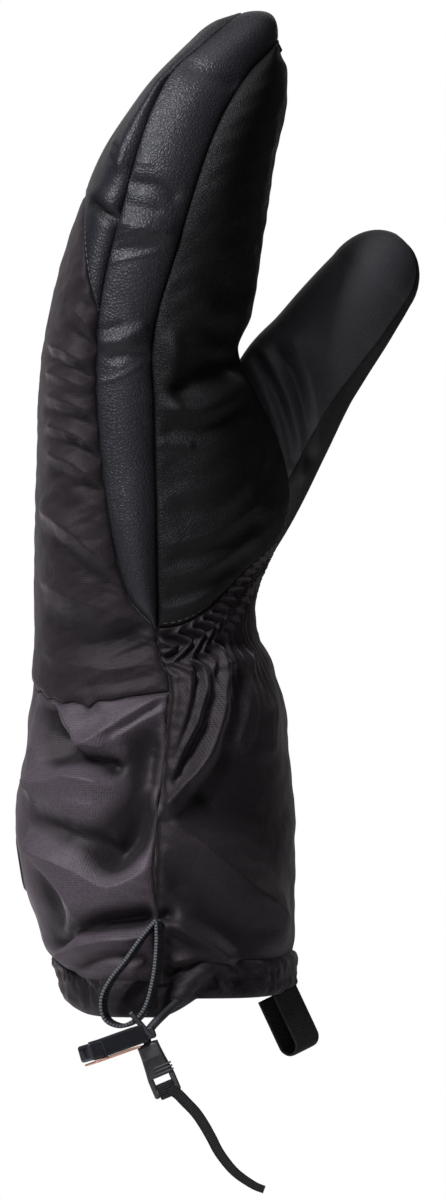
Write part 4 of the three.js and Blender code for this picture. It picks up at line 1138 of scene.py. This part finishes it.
KEEPER_ROUTE = [
    (0.0, -1.4),
    (-5.0, -7.5),
    (-10.5, -15.3),
    (-15.5, -21.6),
    (-18.6, -27.7),
    (-18.8, -33.4),
    (-16.8, -37.0),
    (-12.6, -38.6),
    (-8.8, -37.6),
    (-5.4, -35.0),
    (-2.8, -30.6),
    (-1.0, -24.0),
    (0.2, -17.0),
    (0.8, -8.0),
    (0.6, -1.4),
]

PULL_LENGTH = 19.5
PULL_LEAN = 23
PULL_WIDTH = 7.8
PULL_FOOT_WIDTH = 10
PULL_DEPTH = 4.2
BAR_HEIGHT = 2.8
EYE_WIDTH = 5.8
EYE_HEIGHT = 3.8
BAND_WIDTH = 6.2
NECK_LENGTH = 6.4
NECK_HEIGHT = 4.4
LOCK_LENGTH = 24
LOCK_DEPTH = 9.6
LOCK_HEIGHT = 6.6
LOCK_TURN = 30
LOCK_RISE = 19
LOCK_LIFT = 0.6
PULL_TOP = GRIP + Vector((0.1, 0, -NECK_HEIGHT / 2 - CLEARANCE - 0.7))
PULL_FRAME = turned(PULL_TOP, (-PULL_LEAN, "Y"))
LOCK_FRAME = turned(GRIP, (-LOCK_RISE, "Y"), (LOCK_TURN, "Z"))
FOOT = PULL_FRAME @ Vector((0, 0, -PULL_LENGTH))
BAND_OUT = PULL_DEPTH / 2 + CLEARANCE + WEBBING

SLEEVE_ROUTE = [
    (25.0, -47.0, -113.0),
    (19.0, -55.6, -119.6),
    (14.0, -59.0, -125.0),
    (10.6, -60.6, -129.2),
]

TAIL_ROUTE = [
    (0.6, 1.4),
    (3.0, 0.2),
    (6.4, -3.2),
    (9.8, -6.8),
    (12.8, -11.2),
    (15.4, -15.8),
    (18.4, -21.4),
    (23.6, -27.8),
    (30.0, -32.4),
    (34.2, -34.2),
]


def metres(points):
    return [tuple(Vector(p) * MM) for p in points]


def cords():
    """The hem cord, the keeper loop and the tail of the pull, with what hangs on the hem cord."""
    route = smooth_route(CORD_ROUTE, 60)
    bm = swept(route, round_section(CORD_DIAMETER), 16)
    cord = dressed(bm, "hem_cord_braid", CORD_BRAID, "cord", "hem_cord")
    length = running_length(route)[-1] * MM
    on_it = [lock(), lock_liner(), pull(), tail_band()]
    metres(CORD_ROUTE)[0]
    metres(route)

    side = ROOT.y - KEEPER_WIDTH / 2
    ring = [(ROOT.x + across, side, ROOT.z + up) for across, up in KEEPER_ROUTE]
    route = smooth_route(ring, 110)
    bm = swept(route, ribbon_section(KEEPER_WIDTH, WEBBING + 0.3), 24, Vector((0.36, 1, 0.05)))
    keeper = dressed(bm, "keeper_tape", KEEPER_TAPE, "webbing", "keeper_loop")
    metres(ring)[0]
    running_length(route)[-1] * MM
    metres(route)

    front = FOOT.y - BAND_OUT - CLEARANCE
    strip = [(FOOT.x + across, front, FOOT.z + up) for across, up in TAIL_ROUTE]
    route = smooth_route(strip, 60)
    bm = swept(route, ribbon_section(WEBBING, TAIL_WIDTH, 0.3), 20, Vector((0, 1, 0)))
    tail = dressed(bm, "tail_tape", TAIL_TAPE, "webbing", "pull_tail")
    metres(strip)[0]
    running_length(route)[-1] * MM
    metres(route)


def recessed(bm, rim, depth):
    """Sinks a recess into the face of a block that looks towards -X."""
    bm.normal_update()
    end = min(bm.faces, key=lambda face: face.normal.x * face.calc_area())
    bmesh.ops.inset_region(bm, faces=[end], thickness=rim, depth=0)
    bmesh.ops.translate(bm, vec=(depth, 0, 0), verts=end.verts)
    return bm


def lock():
    """Lock body with a hollow end, its neck and the slim frame beside the keeper."""
    nose = 5.4
    nose_droop = 0.06
    bar_width, bar_height, bar_slant = 1.5, 1.9, 49
    bar_length, bar_near, bar_far = 11.5, -4.9, 4.3
    front = -NECK_LENGTH / 2 + 0.6
    back = front - LOCK_LENGTH
    body_length = LOCK_LENGTH - nose
    body = block(
        (body_length, LOCK_DEPTH, LOCK_HEIGHT),
        0.8,
        LOCK_FRAME @ shifted(front - body_length / 2, 0, LOCK_LIFT),
    )
    end = block((nose + 1, LOCK_DEPTH - 0.7, LOCK_HEIGHT - 0.5), 1.0, shifted(0))
    end = recessed(end, 0.9, 1.6)
    place = LOCK_FRAME @ shifted(back + nose / 2 + 0.5, 0, LOCK_LIFT)
    place = place @ Matrix.Rotation(nose_droop, 4, "Y")
    bmesh.ops.transform(end, matrix=place, verts=end.verts)
    rim_place = LOCK_FRAME @ shifted(back + nose + 0.4, 0, LOCK_LIFT)
    rim = block((0.7, LOCK_DEPTH + 0.3, LOCK_HEIGHT + 0.3), 0.25, rim_place)
    neck = block((NECK_LENGTH, 9, NECK_HEIGHT), 0.8, turned(GRIP, (-LOCK_RISE, "Y")))
    bars = []
    for side in (bar_near, bar_far):
        place = turned(GRIP + Vector((1.2, side, -0.4)), (bar_slant, "Y")) @ shifted(-4.9)
        bars.append(block((bar_length, bar_width, bar_height), 0.5, place))
    place = turned(GRIP + Vector((1.2, -0.3, -0.4)), (bar_slant, "Y")) @ shifted(-9.9)
    bars.append(block((1.7, 10.2, bar_height), 0.5, place))
    whole = joined(body, end, rim, neck, *bars)
    return dressed(whole, "lock_shell", LOCK_PLASTIC, "lock_plastic", "lock_body", smooth=False)


def lock_liner():
    """The pale strip under the lock."""
    drop = LOCK_HEIGHT / 2 + 0.4 + CLEARANCE - LOCK_LIFT
    spot = shifted(-NECK_LENGTH / 2 - LOCK_LENGTH / 2 - 0.8, 0, -drop)
    bm = block((LOCK_LENGTH - 5, LOCK_DEPTH - 0.4, 0.8), 0.3, LOCK_FRAME @ spot)
    return dressed(bm, "lock_strip", COPPER_STRIP, "copper_strip", "lock_liner")


def pull():
    """Soft pull: a socket over the cord, a tongue that widens to an eye, and a bar below the eye."""
    low = -PULL_LENGTH
    eye_top = low + BAR_HEIGHT + EYE_HEIGHT
    post = (PULL_FOOT_WIDTH - EYE_WIDTH) / 2

    def tongue_section(turn, along):
        wide = mix(PULL_WIDTH, PULL_FOOT_WIDTH, along**1.6)
        deep = mix(PULL_DEPTH + 1.2, PULL_DEPTH, along**0.6)
        return wide / 2 * power(math.cos(turn), 0.4), deep / 2 * power(math.sin(turn), 0.4)

    route = [PULL_FRAME @ Vector((0, 0, mix(-0.4, eye_top, step / 24))) for step in range(25)]
    parts = [swept(route, tongue_section, 32, PULL_FRAME.to_3x3() @ Vector((1, 0, 0)))]
    parts.append(block((PULL_WIDTH, 9, 6), 1.4, PULL_FRAME @ shifted(0, 0, -3.2)))
    high = EYE_HEIGHT + BAR_HEIGHT
    for side in (-1, 1):
        spot = shifted(side * (PULL_FOOT_WIDTH - post) / 2, 0, low + high / 2)
        parts.append(block((post, PULL_DEPTH - 0.3, high + 1.0), 0.9, PULL_FRAME @ spot))
    bar = shifted(0, 0, low + BAR_HEIGHT / 2)
    parts.append(block((PULL_FOOT_WIDTH, PULL_DEPTH - 0.2, BAR_HEIGHT), 1.2, PULL_FRAME @ bar))
    ribs, rib_step = 3, 1.25
    for rib in range(ribs):
        spot = shifted(1.7, 0, eye_top + 0.9 + rib * rib_step)
        parts.append(block((7.2, PULL_DEPTH + 1.0, 0.6), 0.25, PULL_FRAME @ spot, 2))
    whole = joined(*parts)
    return dressed(whole, "pull_tongue", PULL_RUBBER, "pull_rubber", "cord_pull", smooth=False)


def tail_band():
    """Webbing wrapped round the pull's foot."""
    deep = PULL_DEPTH / 2 + CLEARANCE + WEBBING / 2
    high = BAR_HEIGHT / 2 + CLEARANCE + WEBBING / 2
    ring = []
    for step in range(33):
        turn = FULL_TURN * step / 32
        spot = Vector((0, deep * power(math.cos(turn), 0.5), high * power(math.sin(turn), 0.5)))
        ring.append(PULL_FRAME @ (spot + Vector((0, 0, -PULL_LENGTH + BAR_HEIGHT / 2))))
    wide = PULL_FRAME.to_3x3() @ Vector((1, 0, 0))
    bm = swept(ring, ribbon_section(BAND_WIDTH, WEBBING), 16, wide)
    return dressed(bm, "tail_wrap", TAIL_TAPE, "webbing", "tail_band")


cords()


# Padded hand


def pucker(point, flank, size=2.0, depth=0.5, reach=4.0):
    """Short gathers that run in from a side seam, one above the other."""
    slanted = Vector((point.z + 0.25 * point.x, 0.16 * point.x, 7 if point.y > 0 else 3))
    return depth * math.exp(-flank / reach) * roughly(slanted, size)


def back_lift(spot):
    point = spot.point
    lift = fold_lift(BACK_FOLDS, point, clear=BACK_CLEAR) + pucker(point, spot.flank, 1.9, 1.2, 4.0)
    slanted = Vector((0.3 * point.x, 0.3 * point.y, point.z - 0.35 * point.x))
    lift += 1.1 * math.exp(-((spot.row / 0.04) ** 2))
    calm = mix(0.35, 1, clamp((abs(point.y) - 20) / 20, 0, 1))
    return lift + calm * (0.9 * roughly(slanted, 5, 5) + 0.35 * roughly(slanted, 2.2, 9))


def strip_lift(spot):
    point = spot.point
    lift = fold_lift(LEATHER_FOLDS, point) + 0.3 * roughly(point, 14, 2)
    return lift + pucker(point, spot.flank, 1.8, 0.25, 2.5)


def cap_lift(spot):
    point = spot.point
    lift = fold_lift(CAP_FOLDS, point) + 0.4 * roughly(point, 16, 4)
    return lift + pucker(point, spot.flank, 2.2, 0.45, 4.0)


def palm_lift(spot):
    point = spot.point
    slanted = Vector((0.35 * point.x, 0.35 * point.y, point.z - 0.5 * point.x))
    lift = fold_lift(PALM_FOLDS, point) + 0.4 * roughly(point, 22, 6)
    return lift + 0.45 * roughly(slanted, 5, 31) + pucker(point, spot.flank, 1.6, 0.3, 1.5)


def hand_pieces():
    def palm_place(share, row):
        low = palm_edge(share) / HAND_LENGTH / PALMAR_TOP
        rounded = math.sin(row * QUARTER_TURN)
        return palm_skin(share, mix(low, 1, mix(row, rounded, 0.35 * row)))

    columns = 170
    bm = patch(columns, 210, palm_place, palm_lift, "lrb", (0.8, 0.3), reach=1.0)
    stitches("wrist_stitches", "palm_panel", DARK_THREAD, line_of(bm, columns, 2)[3:-3])
    opening = [vert for vert in bm.verts if in_thumb_hollow(vert.co)]
    bmesh.ops.delete(bm, geom=opening, context="VERTS")
    dressed(bm, "palm_skin", PALM_LEATHER, "palm_leather", "palm_panel", 0.7, HAND_WALL)

    def cap_place(share, row):
        low = cap_edge(share)
        rounded = math.sin(row * QUARTER_TURN)
        return back_skin(share, mix(low, 1, mix(row, rounded, 0.5)))

    columns = 150
    bm = patch(columns, 110, cap_place, cap_lift, "lrb", (0.78, 0.5), reach=1.6)
    stitches("cap_stitches", "fingertip_cap", THREAD, line_of(bm, columns, 5)[3:-3])
    dressed(bm, "cap_skin", STRIP_LEATHER, "strip_leather", "fingertip_cap", 0.7, HAND_WALL)

    def back_place(share, row):
        low = fold_line(share) / HAND_LENGTH
        return back_skin(share, mix(low, cap_edge(share), row))

    bm = patch(170, 230, back_place, back_lift, "lrbt", (0.78, 0.3))
    dressed(bm, "back_skin", BACK_CLOTH, "ripstop", "back_panel", 0.6, HAND_WALL)

    def strip_place(across, along):
        share = 0 if along < 0.5 else 1
        row = 1 - abs(2 * along - 1)
        height = mix(row, math.sin(row * QUARTER_TURN), 0.35 * row)
        dorsal, palmar = back_skin(share, height), palm_skin(share, height)
        up = clamp((height - TIP_START) / (1 - TIP_START), 0, 1) * QUARTER_TURN
        way = Vector((0.95 * math.sin(up) ** 3, (2 * share - 1) * math.cos(up), math.sin(up)))
        room = clamp((dorsal - palmar).length / (0.14 * HAND_DEPTH), 0, 1)
        puff = (0.03 + 0.022 * math.sin(up) ** 4) * HAND_BREADTH * room
        bulge = way.normalized() * puff * math.sin(across * HALF_TURN)
        return dorsal.lerp(palmar, across) + bulge

    bm = patch(54, 620, strip_place, strip_lift, "lr", (0.7, 0), reach=1.5)
    dressed(bm, "strip_skin", STRIP_LEATHER, "strip_leather", "side_strip", 0.6, HAND_WALL)


# Thumb


def thumb_read(column, along):
    return read(THUMB, "along", column, along)


def thumb_spot(along):
    out, up = thumb_read("out", along), thumb_read("up", along)
    return Vector((out * THUMB_REACH, THUMB_SIDE_SHIFT, up * THUMB_REACH))


def thumb_skin(turn, along):
    ahead = (thumb_spot(min(along + 0.05, 1)) - thumb_spot(max(along - 0.05, 0))).normalized()
    right = Vector((ahead.z, 0, -ahead.x))
    rounding = clamp((1 - along) / 0.16, 0, 1)
    radius = THUMB_RADIUS * thumb_read("girth", min(along, 0.84)) * math.sqrt(1 - (1 - rounding) ** 2)
    side = Vector((0, radius * THUMB_FLATNESS * math.sin(turn), 0))
    return thumb_spot(along) + right * radius * math.cos(turn) + side


def thumb_share(point):
    """Where along the spine a point is nearest."""
    return min((step / 24 for step in range(25)), key=lambda at: (thumb_spot(at) - point).length)


def thumb_out(point):
    return (point - thumb_spot(min(thumb_share(point), 0.9))).normalized()


def in_thumb_hollow(point):
    if point.y < 0 or not THUMB_OPENING_LOW < point.z < THUMB_OPENING_HIGH or point.x < 20:
        return False
    along = thumb_share(point)
    radius = THUMB_OPENING * THUMB_RADIUS * thumb_read("girth", along)
    return (thumb_spot(along) - point).length < radius


def below_palm(point):
    """How deep a point lies under the palm's skin."""
    height = clamp(point.z / HAND_LENGTH, 0, 1)
    half = hand_half(height)
    if abs(point.y) >= half:
        return -1
    lift = math.cos(math.asin(point.y / half)) ** PALM_FULLNESS
    return mix(hand_read("palmar", height), hand_read("palm", height), lift) - point.x


def thumb_seam_turn(along):
    return mix(0.9, 0.3, along**1.5)


def thumb_lift(spot):
    point = spot.point
    lift = fold_lift(THUMB_FOLDS, point, THUMB_SIDE_SHIFT) + 0.35 * roughly(point, 18, 11)
    lift += pucker(point, spot.flank, 1.6, 0.25, 1.8)
    web = clamp((95 - point.z) / 15, 0.2, 1)
    return lift - 1.4 * web * math.exp(-abs(below_palm(point)) / 2.0)


def thumb_pieces():
    def front_place(share, along):
        turn = thumb_seam_turn(along)
        return thumb_skin(mix(turn, FULL_TURN - turn, share), along)

    def back_place(share, along):
        turn = thumb_seam_turn(along)
        return thumb_skin(mix(-turn, turn, share), along)

    def towards_tip(row):
        """Packs the rows towards the tip."""
        return 1 - (1 - row) ** 1.6

    # The front panel wears the leather lightened as painted light, the back panel the leather
    # darkened as painted shade
    panels = (
        ("thumb_front", front_place, 120, THUMB_LIT_LEATHER),
        ("thumb_back", back_place, 56, THUMB_SHADED_LEATHER),
    )
    for node, panel, columns, material in panels:

        def place(share, row):
            return panel(share, towards_tip(row))

        bm = patch(columns, 180, place, thumb_lift, "lr", (0.7, 0), thumb_out)
        root = [vert for vert in bm.verts if vert.co.x < THUMB_ROOT_REACH]
        buried = [vert for vert in root if below_palm(vert.co) > THUMB_BURIAL]
        bmesh.ops.delete(bm, geom=buried, context="VERTS")
        dressed(bm, node + "_skin", material, "thumb_leather", node, 0.7, THUMB_WALL)


# Cuff


def gather(spot):
    """Zigzag pleats that the wrist elastic draws into the palm half, with long ridges below them."""
    pleats = 14
    share, point = spot.share, spot.point
    below = palm_edge(share) - point.z
    tight = math.exp(-((below / 19) ** 4))
    fade = math.exp(-((below / mix(38, 26, abs(2 * share - 1))) ** 2))
    fade *= mix(1, 0.4, math.sin(share * HALF_TURN) ** 6)
    zigzag = 1.3 * tight * math.asin(0.98 * math.sin(below * 0.62 + 3 * share))
    wander = 2.2 * roughly(Vector((share * 60, 0, point.z)), 13, 13)
    wave = math.sin(FULL_TURN * pleats * share + zigzag + wander)
    crest = 0.9 - 1.9 * abs(wave) ** 0.8
    start = clamp(below / 2.0, 0, 1)
    return start * fade * (0.9 + 1.1 * tight) * crest


def cuff_lift(spot):
    point = spot.point
    stretched = Vector((point.x * 0.7, point.y * 0.7, point.z * 1.2))
    lift = fold_lift(CUFF_FOLDS, point, clear=CUFF_CLEAR)
    lift += 1.2 * roughly(stretched, 19, 17) + 0.4 * roughly(stretched, 7, 21)
    lift += pucker(point, spot.flank, 3.2, 1.1, 5.0)
    if point.x > 0:
        return lift
    return lift * (1 - math.exp(-(point.y**2 + (point.z + SWITCH_DROP) ** 2) / 250))


def tuck(spot):
    """The lower edge of the cloth goes in under the hem."""
    depth, height = 2.0, 0.035
    return -depth * math.exp(-((spot.row / height) ** 2))


def gauntlets():
    def palm_place(share, row):
        return palm_or_cuff(share, mix(hem_line("palm", share) - 2, palm_edge(share), row))

    def palm_or_cuff(share, z):
        if z > 0:
            return palm_skin(share, z / HAND_LENGTH / PALMAR_TOP)
        return cuff_skin("palm", share, z)

    def palm_half_lift(spot):
        return cuff_lift(spot) + gather(spot) + tuck(spot)

    bm = patch(210, 230, palm_place, palm_half_lift, "lrt", (0.35, 0.1), reach=0.8)
    # The palm half wears the ripstop copy in painted shade
    cloth = ("gauntlet_palm_cloth", PALM_CUFF_SHADED_CLOTH, "ripstop", "gauntlet_palm")
    palm = dressed(bm, *cloth, wall=CUFF_WALL)

    def back_place(share, row):
        z = mix(hem_line("back", share) - 2, fold_line(share), row)
        return cuff_skin("back", share, z)

    def back_half_lift(spot):
        return cuff_lift(spot) + tuck(spot)

    bm = patch(190, 210, back_place, back_half_lift, "lrt", (0.35, 0.1), reach=0.8)
    cloth = ("gauntlet_back_cloth", CUFF_CLOTH, "ripstop", "gauntlet_back")
    back = dressed(bm, *cloth, wall=CUFF_WALL)


def hem():
    """The casing round the mouth, a soft tube with its cord inside."""

    def place(around, turn):
        if around < 0.5:
            face, share = "palm", clamp(2 * around, 0, 1)
        else:
            face, share = "back", clamp(2 - 2 * around, 0, 1)
        top, low = hem_line(face, share), mouth_line(face, share)
        angle = FULL_TURN * turn
        up = 0.5 + 0.5 * power(math.cos(angle), 0.75)
        out = -HEM_WALL / 2 + (HEM_WALL / 2 + 0.7) * power(math.sin(angle), 0.8)
        point = cuff_skin(face, share, mix(low, top, up))
        return point + outward(point) * out

    def lift(spot):
        point, around = spot.point, spot.share
        outer = max(math.sin(FULL_TURN * spot.row), 0)
        upper = math.exp(-(((point.z + CUFF_LENGTH - HEM_HEIGHT) / 5) ** 2))
        fine = roughly(Vector((around * 380, 0, 1.4 * point.z)), 2.8, 25)
        broad = roughly(Vector((around * 380 + 0.8 * point.z, 0, 1.2 * point.z)), 8, 27)
        sag = fold_lift(HEM_FOLDS, point) + broad * 0.8 + fine * (0.1 + 1.0 * upper)
        return outer * (sag - 1.2 * upper)

    bm = patch(420, 44, place, lift, "", (0, 0))
    bmesh.ops.remove_doubles(bm, verts=bm.verts, dist=0.02)
    bmesh.ops.recalc_face_normals(bm, faces=bm.faces)

    def funnel_section(turn, along):
        radius = mix(7.0, 2.5, along**0.6) * (1 + 0.12 * math.sin(4 * turn) * (1 - along))
        return radius * math.cos(turn), 0.8 * radius * math.sin(turn)

    route = smooth_route(SLEEVE_ROUTE, 24)
    whole = joined(bm, swept(route, funnel_section, 40))
    # The casing wears the ripstop copy in painted shade
    dressed(whole, "hem_tube", HEM_SHADED_CLOTH, "ripstop", "hem_casing", 0.4)


# Switch and tag


def switch():
    """Low rubber dome on the back of the cuff."""
    spot = Vector((section_at(-SWITCH_DROP)[0] + 1.7, 0, -SWITCH_DROP))
    radius, height, lean = 10.5, 1.8, 9
    profile = [(0, 0), (radius, 0), (radius, 0.5), (0.97 * radius, 1.0), (0.88 * radius, 1.5)]
    profile += [(0.7 * radius, 1.75), (0.62 * radius, 1.5), (0.55 * radius, 1.55), (0, height)]
    bm = bmesh.new()
    bm.loops.layers.uv.new("UVMap")
    verts = [bm.verts.new((x, 0, z)) for x, z in profile]
    edges = [bm.edges.new(pair) for pair in zip(verts, verts[1:])]
    bmesh.ops.spin(
        bm,
        geom=verts + edges,
        cent=(0, 0, 0),
        axis=(0, 0, 1),
        angle=FULL_TURN,
        steps=64,
        use_merge=True,
    )
    bmesh.ops.remove_doubles(bm, verts=bm.verts, dist=0.01)
    bmesh.ops.recalc_face_normals(bm, faces=bm.faces)
    bmesh.ops.transform(bm, matrix=turned(spot, (-90 - lean, "Y")), verts=bm.verts)
    dressed(bm, "switch_dome", SWITCH_RUBBER, "switch_rubber", "heater_switch")


def tag():
    """Folded loop of webbing under the hem."""
    width, drop, spread = 13, 21, 8
    arc = spread / 2
    root = Vector((47.5, -26, mouth_line("palm", 0.3) - 0.6))
    place = turned(root, (-25, "Y"), (48, "Z"))
    line = [(-arc, 1.0), (-arc, -drop * 0.3), (-arc, -drop + arc)]
    for step in range(1, 8):
        turn = HALF_TURN * (1 + step / 8)
        line.append((math.cos(turn) * arc, math.sin(turn) * arc - drop + arc))
    line += [(arc, -drop + arc), (arc, -drop * 0.3), (arc, 1.0)]
    route = smooth_route([place @ Vector((0, across, up)) for across, up in line], 60)
    wide = place.to_3x3() @ Vector((1, 0, 0))
    bm = swept(route, ribbon_section(width, WEBBING), 24, wide)
    dressed(bm, "tag_loop", TAG_TAPE, "tag_webbing", "loop_tag")


hand_pieces()
thumb_pieces()
gauntlets()
hem()
switch()
tag()
